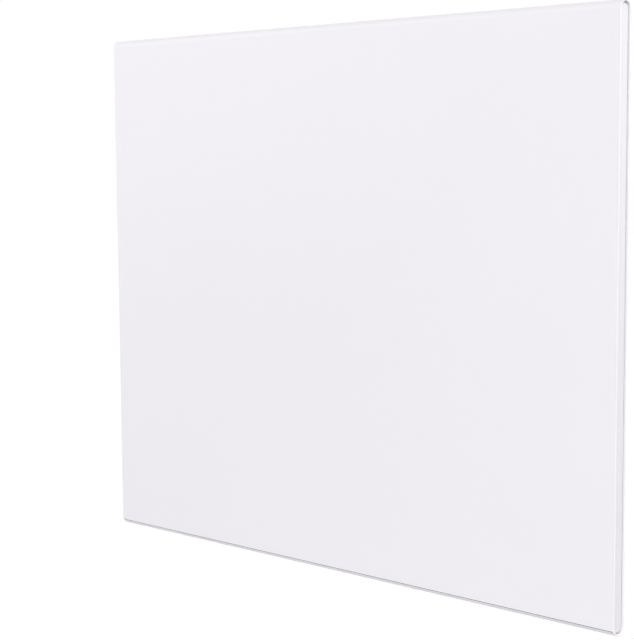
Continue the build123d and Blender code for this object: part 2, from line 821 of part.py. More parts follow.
def make_switch_tabs():
    back = pocket_floor - switch_depth
    length, width, thick = tab_size
    return Compound(children=[block(back - length, back, switch_y - width / 2, switch_y + width / 2,
                                    switch_z + height - thick / 2, switch_z + height + thick / 2)
                              for height in tab_heights])


# Clips and screws

def make_panel_clips():
    clips = []
    for side in (-1, 1):
        for up in (-1, 1):
            clips.append(block(side * clip_start, side * clip_end, panel_back, panel_back + clip_thick,
                               up * clip_z - clip_height / 2, up * clip_z + clip_height / 2))
    return Compound(children=clips)


def make_side_screws():
    screws = []
    for up in (-1, 1):
        start, end = side_screw_line(up)
        screw = rod(side_screw_radius, start, end)
        screws.append(screw)
        screws.append(mirror(screw, about=Plane.YZ))
    return Compound(children=screws)


def make_casing_screws():
    screws = []
    for x, z in casing_screw_places():
        screws.append(rod(casing_screw_radius, (x, casing_inside, z), (x, body_back, z))
                      + rod(casing_screw_head, (x, body_back, z), (x, body_back + casing_screw_rise, z)))
    return Compound(children=screws)


# Heating element

def make_element_rod():
    return rod(rod_radius, (rod_ends[0], element_y, element_z), (rod_ends[1], element_y, element_z))


def make_element_fins():
    last = fin_first + (fin_count - 1) * fin_pitch
    fins = rod(sleeve_radius, (fin_first - fin_pitch / 2, element_y, element_z),
               (last + fin_pitch / 2, element_y, element_z))
    plates = [Pos(fin_first + index * fin_pitch, element_y, element_z) * Box(*fin_size)
              for index in range(fin_count)]
    fins = fins + plates
    return fins - make_element_rod()


def make_element_studs():
    left, right = rod_ends
    return Compound(children=[
        rod(stud_radius, (left - stud_length, element_y, element_z), (left, element_y, element_z)),
        rod(stud_radius, (right, element_y, element_z), (right + stud_length, element_y, element_z))])


def make_element_bushes():
    bushes = []
    for x in bracket_x:
        start = (x - bush_length / 2, element_y, element_z)
        bushes.append(tube(bush_radius, rod_radius, start, (x + bush_length / 2, element_y, element_z)))
    return Compound(children=bushes)


def make_element_brackets():
    brackets = []
    for x in bracket_x:
        inward = -1 if x > 0 else 1
        low, high = element_z - bracket_height / 2, element_z + bracket_height / 2
        plate = block(x - bracket_plate / 2, x + bracket_plate / 2,
                      element_y - bracket_reach, casing_inside, low, high)
        plate += block(x, x + inward * bracket_foot, casing_inside - bracket_plate, casing_inside, low, high)
        plate -= rod(bush_radius, (x - bush_length, element_y, element_z),
                     (x + bush_length, element_y, element_z))
        brackets.append(plate)
    return Compound(children=brackets)


def make_heat_baffle():
    face = casing_inside - baffle_gap
    low, high = baffle_z
    sheet_part = block(*baffle_x, face - baffle_thick, face, low, high)
    for edge in (low, high - baffle_thick):
        sheet_part += block(*baffle_x, face, casing_inside, edge, edge + baffle_thick)
    return sheet_part


def make_thermal_cutout():
    x = cutout_place[0]
    z = element_z + cutout_place[1]
    face = casing_inside - baffle_gap - baffle_thick
    body = rod(cutout_radius, (x, face, z), (x, face - cutout_height, z))
    thick, width, height = cutout_tab
    for side in (-1, 1):
        middle = x + side * cutout_radius / 2
        body += block(middle - thick / 2, middle + thick / 2, face - cutout_height - height,
                      face - cutout_height, z - width / 2, z + width / 2)
    return body


# Electrical parts

def on_board(box_sizes):
    left, right, low, high, height = box_sizes
    return block(board_x[0] + left, board_x[0] + right, board_face - height, board_face,
                 board_z[0] + low, board_z[0] + high)


def spacer_places():
    return [(x, z) for x in (board_x[0] + spacer_inset, board_x[1] - spacer_inset)
            for z in (board_z[0] + 3 * spacer_inset, board_z[1] - spacer_inset)]


def make_power_board():
    back = casing_inside - board_gap
    return block(*board_x, back - board_thick, back, *board_z)


def make_board_spacers():
    back = casing_inside - board_gap
    return Compound(children=[rod(spacer_radius, (x, back, z), (x, casing_inside, z))
                              for x, z in spacer_places()])


def make_transformer():
    left, right, low, high, height = transformer_box
    middle = (low + high) / 2
    band = on_board((left - core_rise, right + core_rise, middle - core_band, middle + core_band,
                     height + core_rise))
    return on_board(transformer_box) + band


def make_capacitor():
    x = board_x[0] + capacitor_place[0]
    z = board_z[0] + capacitor_place[1]
    return rod(capacitor_radius, (x, board_face, z), (x, board_face - capacitor_height, z))


def make_heat_sink():
    left, right, low, high = sink_box
    sink = on_board((left, right, low, high, sink_fin))
    x = left
    while x + sink_fin <= right:
        sink += on_board((x, x + sink_fin, low, high, sink_height))
        x += sink_pitch
    return sink


def make_ribbon():
    half = ribbon_width / 2
    return block(ribbon_x - half, ribbon_x + half, ribbon_y, ribbon_y + ribbon_thick,
                 board_z[0] + connector_box[3], board_under)


def make_terminal_block():
    face = casing_inside - block_height
    body = block(*block_x, face, casing_inside, *block_z)
    width, depth = block_groove
    for index in range(1, block_poles):
        x = block_x[0] + index * (block_x[1] - block_x[0]) / block_poles
        body -= block(x - width / 2, x + width / 2, face, face + depth, *block_z)
    return body


def make_terminal_screws():
    middle = (block_z[0] + block_z[1]) / 2
    face = casing_inside - block_height
    poles = [block_pole(index)[0] for index in range(block_poles)]
    return Compound(children=[rod(block_screw_radius, (x, face, middle), (x, face - block_screw_rise, middle))
                              for x in poles])


def make_cord_gland():
    x, z = gland_place
    gland = rod(gland_neck, (x, casing_inside - gland_rise, z), (x, body_back + gland_rise, z))
    gland += rod(gland_flange, (x, casing_inside - gland_rise, z), (x, casing_inside, z))
    gland += rod(gland_flange, (x, body_back, z), (x, body_back + gland_rise / 2, z))
    return gland - rod(gland_bore, (x, casing_inside - gland_rise, z), (x, body_back + gland_rise, z))


def make_earth_tag():
    x, z = earth_place
    length, rise, height = earth_size
    return block(x, x + length, casing_inside - height, casing_inside, z, z + rise)


def make_sensor_holder():
    x, y = sensor_place
    length, depth, height = sensor_holder
    base = body_bottom + sheet
    return block(x, x + length, y, y + depth, base, base + height)


def make_sensor():
    length, depth, height = sensor_holder
    x = sensor_place[0] + length / 2
    y = sensor_place[1] + depth / 2
    base = body_bottom + sheet + height
    probe = rod(sensor_radius, (x, y, base), (x, y, base + sensor_length))
    return probe + Pos(x, y, base + sensor_length) * Sphere(sensor_radius)


def wire(points, start_way, end_way):
    # insulated wire along a smooth route, leaving and arriving in the given directions
    path = Spline(*points, tangents=(start_way, end_way))
    start = Plane(origin=path @ 0, z_dir=path % 0)
    return sweep(start * Circle(wire_radius), path=path)


def block_pole(index):
    step = (block_x[1] - block_x[0]) / block_poles
    return block_x[0] + (index + 0.5) * step, casing_inside - block_height / 2, block_z[1]


def tab_point(index, above):
    x = pocket_floor - switch_depth - tab_size[0] / 2
    rise = tab_size[2] / 2 if above else -tab_size[2] / 2
    return x, switch_y, switch_z + tab_heights[index] + rise


def outlet_point(index):
    left, right, low, high, height = outlet_box
    pole = (right - left) / 2
    return board_x[0] + left + (index + 0.5) * pole, board_face - height / 2, board_z[0] + low


def make_live_wire():
    return wire((block_pole(0), (198.0, -48.0, 10.0), (202.0, -50.0, 80.0), tab_point(0, False)),
                (0, 0, 1), (0, 0, 1))


def make_switched_wire():
    return wire((outlet_point(0), (110.0, -50.0, 60.0), (140.0, -60.0, 125.0), (180.0, -54.0, 152.0),
                 tab_point(2, True)), (0, 0, -1), (0, 0, -1))


def make_heater_wire():
    return wire((outlet_point(1), (160.0, -56.0, -30.0), (204.0, -54.0, -90.0),
                 (rod_ends[1] + stud_length, element_y, element_z)), (0, 0, -1), (-1, 0, 0))


def make_neutral_wire():
    return wire((block_pole(1), (120.0, -56.0, -30.0), (-100.0, -60.0, -50.0), (-214.0, -54.0, -90.0),
                 (rod_ends[0] - stud_length, element_y, element_z)), (0, 0, 1), (1, 0, 0))


def make_earth_wire():
    x, z = earth_place
    length, rise, height = earth_size
    return wire((block_pole(2), (x + length / 2, casing_inside - height / 2, z)), (0, 0, 1), (0, 0, 1))


# Wall bracket

def make_wall_bracket():
    half_x = screw_spacing[0] / 2
    half_z = screw_spacing[1] / 2
    wide = bar_width / 2
    plate = block(-half_x, half_x, -bracket_sheet, 0, half_z - wide, half_z + wide)
    plate += block(-half_x, half_x, -bracket_sheet, 0, -half_z - wide, -half_z + wide)
    for side in (-1, 1):
        x = side * half_x
        plate += block(x - wide, x + wide, -bracket_sheet, 0, -bar_height / 2, bar_height / 2)
        for height in hook_z:
            inner = casing_inside - hook_inside
            plate += block(x - hook_width / 2, x + hook_width / 2, inner, 0, height - bracket_sheet, height)
            plate += block(x - hook_width / 2, x + hook_width / 2, inner, inner + bracket_sheet,
                           height - bracket_sheet, height + hook_lip)
        for z in (-half_z, half_z):
            plate -= rod(screw_hole, (x, -2 * bracket_sheet, z), (x, bracket_sheet, z))
    return plate


nodes = {
    "front_panel": make_front_panel(),
    "end_cap_right": make_end_cap(),
    "end_cap_left": mirror(make_end_cap(), about=Plane.YZ),
    "end_right": make_right_end(),
    "end_left": make_left_end(),
    "rear_casing": make_rear_casing(),
    "outlet_grille": make_outlet_grille(),
    "inlet_grille": make_inlet_grille(),
    "control_tray": make_control_tray(),
    "control_fascia": make_fascia(),
    "display_window": make_display_window(),
    "display_module": make_display_module(),
    "lights_lit": make_lights(True),
    "light_unlit": make_lights(False),
    "control_board": make_control_board(),
    "board_screws": make_board_screws(),
    "key_switches": make_key_switches(),
    "key_mat": make_key_mat(),
    "flap": make_flap(),
    "flap_pins": make_flap_pins(),
    "switch_body": make_switch_body(),
    "rocker": make_rocker(),
    "rocker_pin": make_rocker_pin(),
    "switch_tabs": make_switch_tabs(),
    "panel_clips": make_panel_clips(),
    "side_screws": make_side_screws(),
    "casing_screws": make_casing_screws(),
    "element_rod": make_element_rod(),
    "element_fins": make_element_fins(),
    "element_studs": make_element_studs(),
    "element_bushes": make_element_bushes(),
    "element_brackets": make_element_brackets(),
    "heat_baffle": make_heat_baffle(),
    "thermal_cutout": make_thermal_cutout(),
    "power_board": make_power_board(),
    "board_spacers": make_board_spacers(),
    "relay": on_board(relay_box),
    "transformer": make_transformer(),
    "capacitor": make_capacitor(),
    "heat_sink": make_heat_sink(),
    "board_sockets": Compound(children=[on_board(connector_box), on_board(outlet_box)]),
    "ribbon": make_ribbon(),
    "terminal_block": make_terminal_block(),
    "terminal_screws": make_terminal_screws(),
    "cord_gland": make_cord_gland(),
    "earth_tag": make_earth_tag(),
    "sensor_holder": make_sensor_holder(),
    "room_sensor": make_sensor(),
    "wire_live": make_live_wire(),
    "wire_switched": make_switched_wire(),
    "wire_heater": make_heater_wire(),
    "wire_neutral": make_neutral_wire(),
    "wire_earth": make_earth_wire(),
    "wall_bracket": make_wall_bracket(),
}

for (x, y), name in zip(button_centres(), ("lock", "mode", "power", "timer", "minus", "plus")):
    nodes["button_" + name] = make_button(x, y)

for name, shape in nodes.items():
    export_step(shape, "parts/" + name + ".step")
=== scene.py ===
import json
from math import cos, pi, radians, sin

import bmesh
import bpy
import numpy as np
from mathutils import Matrix, Vector


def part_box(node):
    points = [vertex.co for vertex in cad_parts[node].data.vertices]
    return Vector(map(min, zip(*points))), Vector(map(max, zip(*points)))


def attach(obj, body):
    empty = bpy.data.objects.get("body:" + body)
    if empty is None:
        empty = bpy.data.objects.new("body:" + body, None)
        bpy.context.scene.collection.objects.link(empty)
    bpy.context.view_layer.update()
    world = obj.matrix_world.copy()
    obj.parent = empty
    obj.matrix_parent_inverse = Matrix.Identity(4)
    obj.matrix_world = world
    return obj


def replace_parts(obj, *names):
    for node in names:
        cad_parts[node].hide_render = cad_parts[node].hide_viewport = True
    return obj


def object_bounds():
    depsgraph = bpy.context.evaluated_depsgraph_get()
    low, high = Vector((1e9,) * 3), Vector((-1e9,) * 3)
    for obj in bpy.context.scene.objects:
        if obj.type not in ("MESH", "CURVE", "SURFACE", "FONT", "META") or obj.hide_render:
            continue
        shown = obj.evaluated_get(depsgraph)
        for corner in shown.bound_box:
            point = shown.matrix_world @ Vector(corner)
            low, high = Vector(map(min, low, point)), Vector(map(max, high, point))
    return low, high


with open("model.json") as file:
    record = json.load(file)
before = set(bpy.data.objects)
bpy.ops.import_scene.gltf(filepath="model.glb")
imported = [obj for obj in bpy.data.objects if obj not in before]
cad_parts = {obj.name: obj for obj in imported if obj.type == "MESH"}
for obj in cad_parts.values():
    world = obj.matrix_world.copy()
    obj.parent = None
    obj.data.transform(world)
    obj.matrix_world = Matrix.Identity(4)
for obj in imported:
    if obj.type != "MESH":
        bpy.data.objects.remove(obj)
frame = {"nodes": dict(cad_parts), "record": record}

# Metres, in the heater's own frame: x right, y towards the wall, z up.
mm = 0.001
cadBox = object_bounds()
nodes = frame["nodes"]


def boxOf(name):
    # a node's lowest and highest corner
    low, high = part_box(name)
    return np.array(low), np.array(high)


def pointsOf(name):
    return np.array([tuple(vertex.co) for vertex in nodes[name].data.vertices])


print("heater loaded:", len(nodes), "nodes")


# Surfaces: a grid of points becomes a mesh

def gridFaces(rows, columns, wrapRows=False, wrapColumns=False):
    # quads between neighbouring points of a grid that is numbered row by row
    row = np.arange(rows if wrapRows else rows - 1)
    column = np.arange(columns if wrapColumns else columns - 1)
    row, column = np.meshgrid(row, column, indexing="ij")
    nextRow, nextColumn = (row + 1) % rows, (column + 1) % columns
    corners = [row * columns + column, nextRow * columns + column,
               nextRow * columns + nextColumn, row * columns + nextColumn]
    return np.stack(corners, axis=-1).reshape(-1, 4)


def addPiece(name, parts, slot, body="heater", sharp=35, weld=1e-6):
    # (points, faces) pairs as one mesh, welded, with its faces turned outwards
    points, faces = [], []
    for partPoints, partFaces in parts:
        faces += [[int(corner) + len(points) for corner in face] for face in partFaces]
        points += np.reshape(partPoints, (-1, 3)).tolist()
    mesh = bpy.data.meshes.new(name)
    mesh.from_pydata(points, [], faces)
    shape = bmesh.new()
    shape.from_mesh(mesh)
    if weld:
        bmesh.ops.remove_doubles(shape, verts=shape.verts, dist=weld)
    bmesh.ops.recalc_face_normals(shape, faces=shape.faces)
    shape.to_mesh(mesh)
    shape.free()
    mesh.shade_smooth()
    mesh.set_sharp_from_angle(angle=radians(sharp))
    return install(bpy.data.objects.new(name, mesh), slot, body)


def install(piece, slot, body):
    # into the scene, with its finish, riding on its body
    bpy.context.scene.collection.objects.link(piece)
    piece.data.materials.clear()
    piece.data.materials.append(finishes[slot])
    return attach(piece, body)


def outwards(axis, angle):
    # directions square to an axis: cos a side + sin a other
    side = np.array(Vector(axis).orthogonal().normalized())
    other = np.cross(axis, side)
    return np.cos(angle)[..., None] * side + np.sin(angle)[..., None] * other


def lathe(profile, centre, steps):
    # profile of (radius, height) turned about the upright axis through centre:
    # point = centre + radius outwards + height axis
    axis = np.array([0.0, 0.0, 1.0])
    around = outwards(axis, np.linspace(0, 2 * pi, steps, endpoint=False))
    radius, height = np.asarray(profile, float).T
    points = (np.asarray(centre) + radius[None, :, None] * around[:, None, :]
              + height[None, :, None] * axis)
    return points, gridFaces(steps, len(profile), wrapRows=True)


def carry(section, left, right, ends):
    # a closed section of (y, z) carried along x, with the faces that close its two ends
    points = np.concatenate([np.c_[np.full(len(section), x), section] for x in (left, right)])
    return points, np.concatenate([gridFaces(2, len(section), wrapColumns=True), ends])


def ribbon(stroke, width, low, high, surface=None):
    # flat bar of even width along a stroke in x and y, between two heights above a surface
    path, closed = stroke
    if closed:
        along = np.roll(path, -1, axis=0) - np.roll(path, 1, axis=0)
    else:
        along = np.gradient(path, axis=0)
    along /= np.linalg.norm(along, axis=1, keepdims=True)
    across = np.stack([-along[:, 1], along[:, 0]], axis=-1) * width / 2
    left, right = path + across, path - across
    rise = np.zeros((len(path), 2))
    if surface is not None:
        rise = np.stack([surface(left), surface(right)], axis=-1)
    section = [np.c_[left, rise[:, 0] + low], np.c_[left, rise[:, 0] + high],
               np.c_[right, rise[:, 1] + high], np.c_[right, rise[:, 1] + low]]
    points = np.stack(section, axis=1)
    faces = gridFaces(len(path), 4, wrapRows=closed, wrapColumns=True)
    if not closed:
        last = (len(path) - 1) * 4
        faces = np.concatenate([faces, [[0, 1, 2, 3], [last + 3, last + 2, last + 1, last]]])
    return points.reshape(-1, 3), faces


# A sign is a list of strokes, each of them (points, closed)

def line(startX, startY, endX, endY, count=8):
    return np.linspace((startX, startY), (endX, endY), count), False


def arc(centre, radius, start, end, count=40, squash=1.0):
    # part of a circle, or a whole one that closes on itself, angles in degrees from +x
    closed = end - start == 360
    angle = np.radians(np.linspace(start, end, count, endpoint=not closed))
    points = [centre[0] + radius * np.cos(angle), centre[1] + radius * squash * np.sin(angle)]
    return np.stack(points, axis=-1), closed


def ring(centre, radius, count=40, squash=1.0):
    return arc(centre, radius, 0, 360, count, squash)


def signBars(strokes, centre, size, width, low, high, surface=None):
    # a sign's strokes as flat bars, around its centre
    return [ribbon((centre + path * size, closed), width, low, high, surface)
            for path, closed in strokes]


def softCopy(node, slot, body, width, segments):
    # a merged copy of a CAD node with its sharp edges rounded over
    mesh = nodes[node].data.copy()
    mesh.name = node + "Soft"
    shape = bmesh.new()
    shape.from_mesh(mesh)
    bmesh.ops.remove_doubles(shape, verts=shape.verts, dist=copyLook["weld"])
    bmesh.ops.dissolve_limit(shape, angle_limit=radians(copyLook["flat"]), verts=shape.verts,
                             edges=shape.edges)
    shape.to_mesh(mesh)
    shape.free()
    mesh.shade_smooth()
    piece = bpy.data.objects.new(mesh.name, mesh)
    rounding = piece.modifiers.new("rounding", "BEVEL")
    rounding.width = width
    rounding.segments = segments
    rounding.limit_method = "ANGLE"
    rounding.angle_limit = radians(copyLook["sharp"])
    rounding.use_clamp_overlap = True
    rounding.harden_normals = True
    mesh.set_sharp_from_angle(angle=radians(copyLook["sharp"]))
    install(piece, slot, body)
    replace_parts(piece, node)


# Finishes: shared effects as node groups, then one function for each kind of material

# Scales of noise are waves in a metre
surfaceLook = {
    "edgeGain": 6.0,        # how quickly an edge's mask fills as the normal turns
    "edgeNoise": 260.0,
    "edgeSmooth": 0.12,     # roughness that an edge loses
    "driftNoise": 9.0,
    "scuffNoise": 45.0,
    "speck": 0.06,          # roughness that follows the fine grain
    "coatRough": 0.12,
    "softDepth": 1.5 * mm,  # how far light goes into soft plastic
    "lineStretch": (0.04, 1.0, 1.0),
    "lineNoise": 2500.0,
    "lineHeight": 0.004 * mm,
    "patchRough": 0.4,      # roughness that follows the spangle's shade
}
sheetLook = {
    # near-black bare steel: painted shade inside the heater and on the grille's slot walls
    "steel": {"Colour": (0.06, 0.062, 0.067, 1), "Roughness": 0.5, "Spangle": 0.35,
              "Lines": 0.1, "Patch Size": 9.0 * mm},
    "casingPast": 0.1 * mm,    # casing is bare steel with painted shade up to this far past its inner face
    "grilleUnder": 1.1 * mm,   # grille is bare steel with painted shade from this far under its top
    "slotTop": 0.4 * mm,       # its slots' walls are painted dark as shade from this far under its top
    "grilleBorder": 2.0 * mm,  # its outer edges that stay painted
    "panelDeep": 6.0 * mm,     # panel's ends that stay painted inside
    "panelSkin": 0.6 * mm,     # panel is bare steel with painted shade from this far inside its outer surface
    "rim": 0.4 * mm,           # painted highlight, in from the panel's cut ends
    "rimHighlightColour": (0.985, 0.97, 1.0, 1),
}
boardLook = {
    "lacquer": (0.02, 0.16, 0.06, 1),
    "track": (0.06, 0.30, 0.11, 1),
    "pad": (0.62, 0.62, 0.58, 1),
    "trackCells": 160.0,  # cells in a metre
    "padCells": 300.0,
    "trackWidth": 0.12,   # shares of a cell
    "padSize": 0.16,
    "trackHeight": 0.03 * mm,
}
socketKinds = {"Colour": "NodeSocketColor", "Normal": "NodeSocketVector"}


def newGroup(name, inputs, outputs=("Colour", "Roughness", "Normal")):
    # inputs as {name: first value}; a socket that isn't a colour or a normal holds a number
    group = bpy.data.node_groups.new(name, "ShaderNodeTree")
    for direction, sockets in (("INPUT", inputs), ("OUTPUT", outputs)):
        for socket in sockets:
            kind = socketKinds.get(socket, "NodeSocketFloat")
            made = group.interface.new_socket(socket, in_out=direction, socket_type=kind)
            if direction == "INPUT":
                made.default_value = inputs[socket]
    return group, group.nodes.new("NodeGroupInput").outputs, group.nodes.new("NodeGroupOutput")


def connect(tree, node, inputs):
    # a node's inputs by name or number, each from another node's output or a plain value
    for name, source in inputs.items():
        if hasattr(source, "is_output"):
            tree.links.new(source, node.inputs[name])
        else:
            node.inputs[name].default_value = source


def addNode(tree, kind, inputs=None, **settings):
    # a new node's outputs
    node = tree.nodes.new("ShaderNode" + kind)
    for key, value in settings.items():
        setattr(node, key, value)
    connect(tree, node, inputs or {})
    return node.outputs


def useGroup(tree, group, inputs):
    return addNode(tree, "Group", inputs, node_tree=group)


def calc(tree, operation, first, second=0.0, clamp=False):
    return addNode(tree, "Math", {0: first, 1: second}, operation=operation, use_clamp=clamp)[0]


def mixColour(tree, factor, first, second):
    return addNode(tree, "Mix", {0: factor, 6: first, 7: second}, data_type="RGBA")[2]


def ownPlace(tree):
    # where a point is on its own piece
    return addNode(tree, "TexCoord")["Object"]


def noise(tree, scale, detail, roughness=0.5, coords=None):
    return addNode(tree, "TexNoise", {"Vector": coords or ownPlace(tree), "Scale": scale,
                                      "Detail": detail, "Roughness": roughness})["Fac"]


def swing(tree, source, share):
    # a value from 0 to 1 as a swing about nought
    return calc(tree, "MULTIPLY", calc(tree, "SUBTRACT", source, 0.5), share)


def brighter(tree, colour, value):
    return addNode(tree, "HueSaturation", {"Value": value, "Color": colour})[0]


def bumped(tree, strength, distance, height):
    inputs = {"Strength": strength, "Distance": distance, "Height": height}
    return addNode(tree, "Bump", inputs)[0]


def makeEdgeGroup():
    # how near a sharp edge the surface is: 1 on it, 0 away from it, broken up by noise
    group, given, result = newGroup("edgeNearness", {"Reach": 0.5 * mm, "Break": 0.5}, ["Mask"])
    rounded = addNode(group, "Bevel", {"Radius": given["Reach"]}, samples=6)[0]
    plain = addNode(group, "NewGeometry")["Normal"]
    match = addNode(group, "VectorMath", {0: rounded, 1: plain}, operation="DOT_PRODUCT")
    apart = calc(group, "SUBTRACT", 1.0, match["Value"])
    strong = calc(group, "MULTIPLY", apart, surfaceLook["edgeGain"], clamp=True)
    patchy = noise(group, surfaceLook["edgeNoise"], 3.0)
    broken = calc(group, "MULTIPLY", patchy, given["Break"])
    connect(group, result, {"Mask": calc(group, "SUBTRACT", strong, broken, clamp=True)})
    return group


def makeSkinGroup():
    # sprayed or moulded skin: broad tone drift, fine grain for roughness, and a bumped normal
    group, given, result = newGroup("skin", {
        "Colour": (0.8, 0.8, 0.8, 1), "Roughness": 0.4, "Drift": 0.02, "Scuff": 0.05,
        "Grain Size": 1.0 * mm, "Grain Height": 0.01 * mm})
    shift = swing(group, noise(group, surfaceLook["driftNoise"], 4.0), given["Drift"])
    grain = noise(group, calc(group, "DIVIDE", 1.0, given["Grain Size"]), 2.0)
    marks = noise(group, surfaceLook["scuffNoise"], 6.0, 0.7)
    scuffed = calc(group, "ADD", given["Roughness"], swing(group, marks, given["Scuff"]))
    speck = swing(group, grain, surfaceLook["speck"])
    connect(group, result, {
        "Colour": brighter(group, given["Colour"], calc(group, "ADD", shift, 1.0)),
        "Roughness": calc(group, "ADD", scuffed, speck, clamp=True),
        "Normal": bumped(group, 1.0, given["Grain Height"], grain)})
    return group


def makeMetalGroup():
    # rolled or plated metal: fine lines along x, spangled patches and a bumped normal
    group, given, result = newGroup("rolledMetal", {
        "Colour": (0.7, 0.7, 0.7, 1), "Roughness": 0.35, "Spangle": 0.2, "Lines": 0.1,
        "Patch Size": 6.0 * mm})
    coords = ownPlace(group)
    fineness = calc(group, "DIVIDE", 1.0, given["Patch Size"])
    patches = addNode(group, "TexVoronoi", {"Vector": coords, "Scale": fineness})
    patch = addNode(group, "SeparateColor", {0: patches["Color"]})[0]
    shade = swing(group, patch, given["Spangle"])
    drawn = addNode(group, "Mapping", {"Vector": coords, "Scale": surfaceLook["lineStretch"]})[0]
    lines = noise(group, surfaceLook["lineNoise"], 2.0, coords=drawn)
    streaked = calc(group, "ADD", given["Roughness"], swing(group, lines, given["Lines"]))
    patchy = calc(group, "MULTIPLY", shade, surfaceLook["patchRough"])
    connect(group, result, {
        "Colour": brighter(group, given["Colour"], calc(group, "ADD", shade, 1.0)),
        "Roughness": calc(group, "ADD", streaked, patchy, clamp=True),
        "Normal": bumped(group, 0.4, surfaceLook["lineHeight"], lines)})
    return group


edgeGroup = makeEdgeGroup()
skinGroup = makeSkinGroup()
metalGroup = makeMetalGroup()


finishes = {}


def startFinish(slot, colour):
    # a new material, filed under its slot and named after it in camel case
    first, *rest = slot.split("_")
    material = bpy.data.materials.new(first + "".join(word.capitalize() for word in rest))
    material.use_nodes = True
    material.diffuse_color = (*colour, 1)
    finishes[slot] = material
    return material.node_tree, material.node_tree.nodes["Principled BSDF"]


def paintEdgeHighlight(tree, colour, reach, breakUp, tone):
    # a colour with a painted highlight along sharp edges, and the edges' mask
    mask = useGroup(tree, edgeGroup, {"Reach": reach, "Break": breakUp})["Mask"]
    return mixColour(tree, mask, colour, brighter(tree, colour, tone)), mask


def skinFinish(slot, colour, roughness, grainSize, grainHeight, drift=0.02, scuff=0.05,
               edgeReach=0.5 * mm, edgeTone=1.04, coat=0.0, subsurface=0.0, gloss=0.5, bare=None):
    # paint or plastic with a painted highlight along its edges, which are also rubbed a little
    # smoother
    tree, shader = startFinish(slot, colour)
    skin = useGroup(tree, skinGroup, {
        "Colour": (*colour, 1), "Roughness": roughness, "Drift": drift, "Scuff": scuff,
        "Grain Size": grainSize, "Grain Height": grainHeight})
    painted, edge = paintEdgeHighlight(tree, skin["Colour"], edgeReach, 0.6, edgeTone)
    rubbed = calc(tree, "MULTIPLY", edge, surfaceLook["edgeSmooth"])
    rough = calc(tree, "SUBTRACT", skin["Roughness"], rubbed, clamp=True)
    # inside surfaces become bare steel darkened as painted shade
    if bare:
        painted, rough = bareShadedInside(tree, painted, rough, bare)
    connect(tree, shader, {
        "Base Color": painted, "Roughness": rough, "Normal": skin["Normal"],
        "Coat Weight": coat, "Coat Roughness": surfaceLook["coatRough"],
        "Specular IOR Level": gloss, "Subsurface Weight": subsurface,
        "Subsurface Scale": surfaceLook["softDepth"]})


def splitPlace(tree):
    return addNode(tree, "SeparateXYZ", {0: ownPlace(tree)})


def bareShadedInside(tree, painted, rough, kind):
    # paint outside, bare steel inside darkened to near black as painted shade; a painted highlight
    # whitens the panel's cut ends
    place = splitPlace(tree)
    height = calc(tree, "ABSOLUTE", place["Z"])
    if kind == "panel":
        inside = panelMask(tree, place, height)
        # the panel's cut ends get a painted highlight
        start = boxOf("front_panel")[1][0] - sheetLook["rim"]
        rim = calc(tree, "GREATER_THAN", calc(tree, "ABSOLUTE", place["X"]), start)
        painted = mixColour(tree, rim, painted, sheetLook["rimHighlightColour"])
    elif kind == "grille":
        inside = grilleMask(tree, place, height)
    else:
        inner = boxOf("rear_casing")[0][1] + sheetLook["casingPast"]
        inside = calc(tree, "LESS_THAN", place["Y"], inner)
    steel = useGroup(tree, metalGroup, sheetLook["steel"])
    rough = addNode(tree, "Mix", {0: inside, 2: rough, 3: steel["Roughness"]})[0]
    return mixColour(tree, inside, painted, steel["Colour"]), rough


def nearer(tree, source, middle, half):
    # 1 where a value is within half of the middle
    away = calc(tree, "ABSOLUTE", calc(tree, "SUBTRACT", source, middle))
    return calc(tree, "LESS_THAN", away, half)


def grilleMask(tree, place, height):
    # where the painted shade goes: under the grille, and on the walls of its slots
    low, high = boxOf("outlet_grille")
    walls = calc(tree, "LESS_THAN", height, high[2] - sheetLook["slotTop"])
    for axis, name in enumerate("XY"):
        half = (high[axis] - low[axis]) / 2 - sheetLook["grilleBorder"]
        within = nearer(tree, place[name], (low[axis] + high[axis]) / 2, half)
        walls = calc(tree, "MULTIPLY", walls, within)
    under = calc(tree, "LESS_THAN", height, high[2] - sheetLook["grilleUnder"])
    return calc(tree, "MAXIMUM", walls, under)


def panelMask(tree, place, height):
    # within the nose's radius of the panel's middle, and away from its ends: distance = root of
    # (y from the middle) squared + (height past the nose's centre) squared
    low, high = boxOf("front_panel")
    radius, middle = (high[1] - low[1]) / 2, (high[1] + low[1]) / 2
    across = calc(tree, "SUBTRACT", place["Y"], middle)
    past = calc(tree, "MAXIMUM", calc(tree, "SUBTRACT", height, high[2] - radius), 0.0)
    away = calc(tree, "SQRT", calc(tree, "ADD", calc(tree, "MULTIPLY", across, across),
                                   calc(tree, "MULTIPLY", past, past)))
    deep = nearer(tree, place["X"], 0.0, high[0] - sheetLook["panelDeep"])
    within = calc(tree, "LESS_THAN", away, radius - sheetLook["panelSkin"])
    return calc(tree, "MULTIPLY", deep, within)


def metalFinish(slot, colour, roughness, spangle=0.15, lines=0.15, patch=5.0 * mm):
    tree, shader = startFinish(slot, colour)
    metal = useGroup(tree, metalGroup, {
        "Colour": (*colour, 1), "Roughness": roughness, "Spangle": spangle, "Lines": lines,
        "Patch Size": patch})
    # sharp edges get a painted highlight
    bright = paintEdgeHighlight(tree, metal["Colour"], 0.3 * mm, 0.5, 1.2)[0]
    connect(tree, shader, {"Base Color": bright, "Roughness": metal["Roughness"],
                           "Normal": metal["Normal"], "Metallic": 1.0})


def plainSkin(tree, shader, inputs):
    # a skin without worn edges
    skin = useGroup(tree, skinGroup, inputs)
    connect(tree, shader, {"Base Color": skin["Colour"], "Roughness": skin["Roughness"],
                           "Normal": skin["Normal"]})


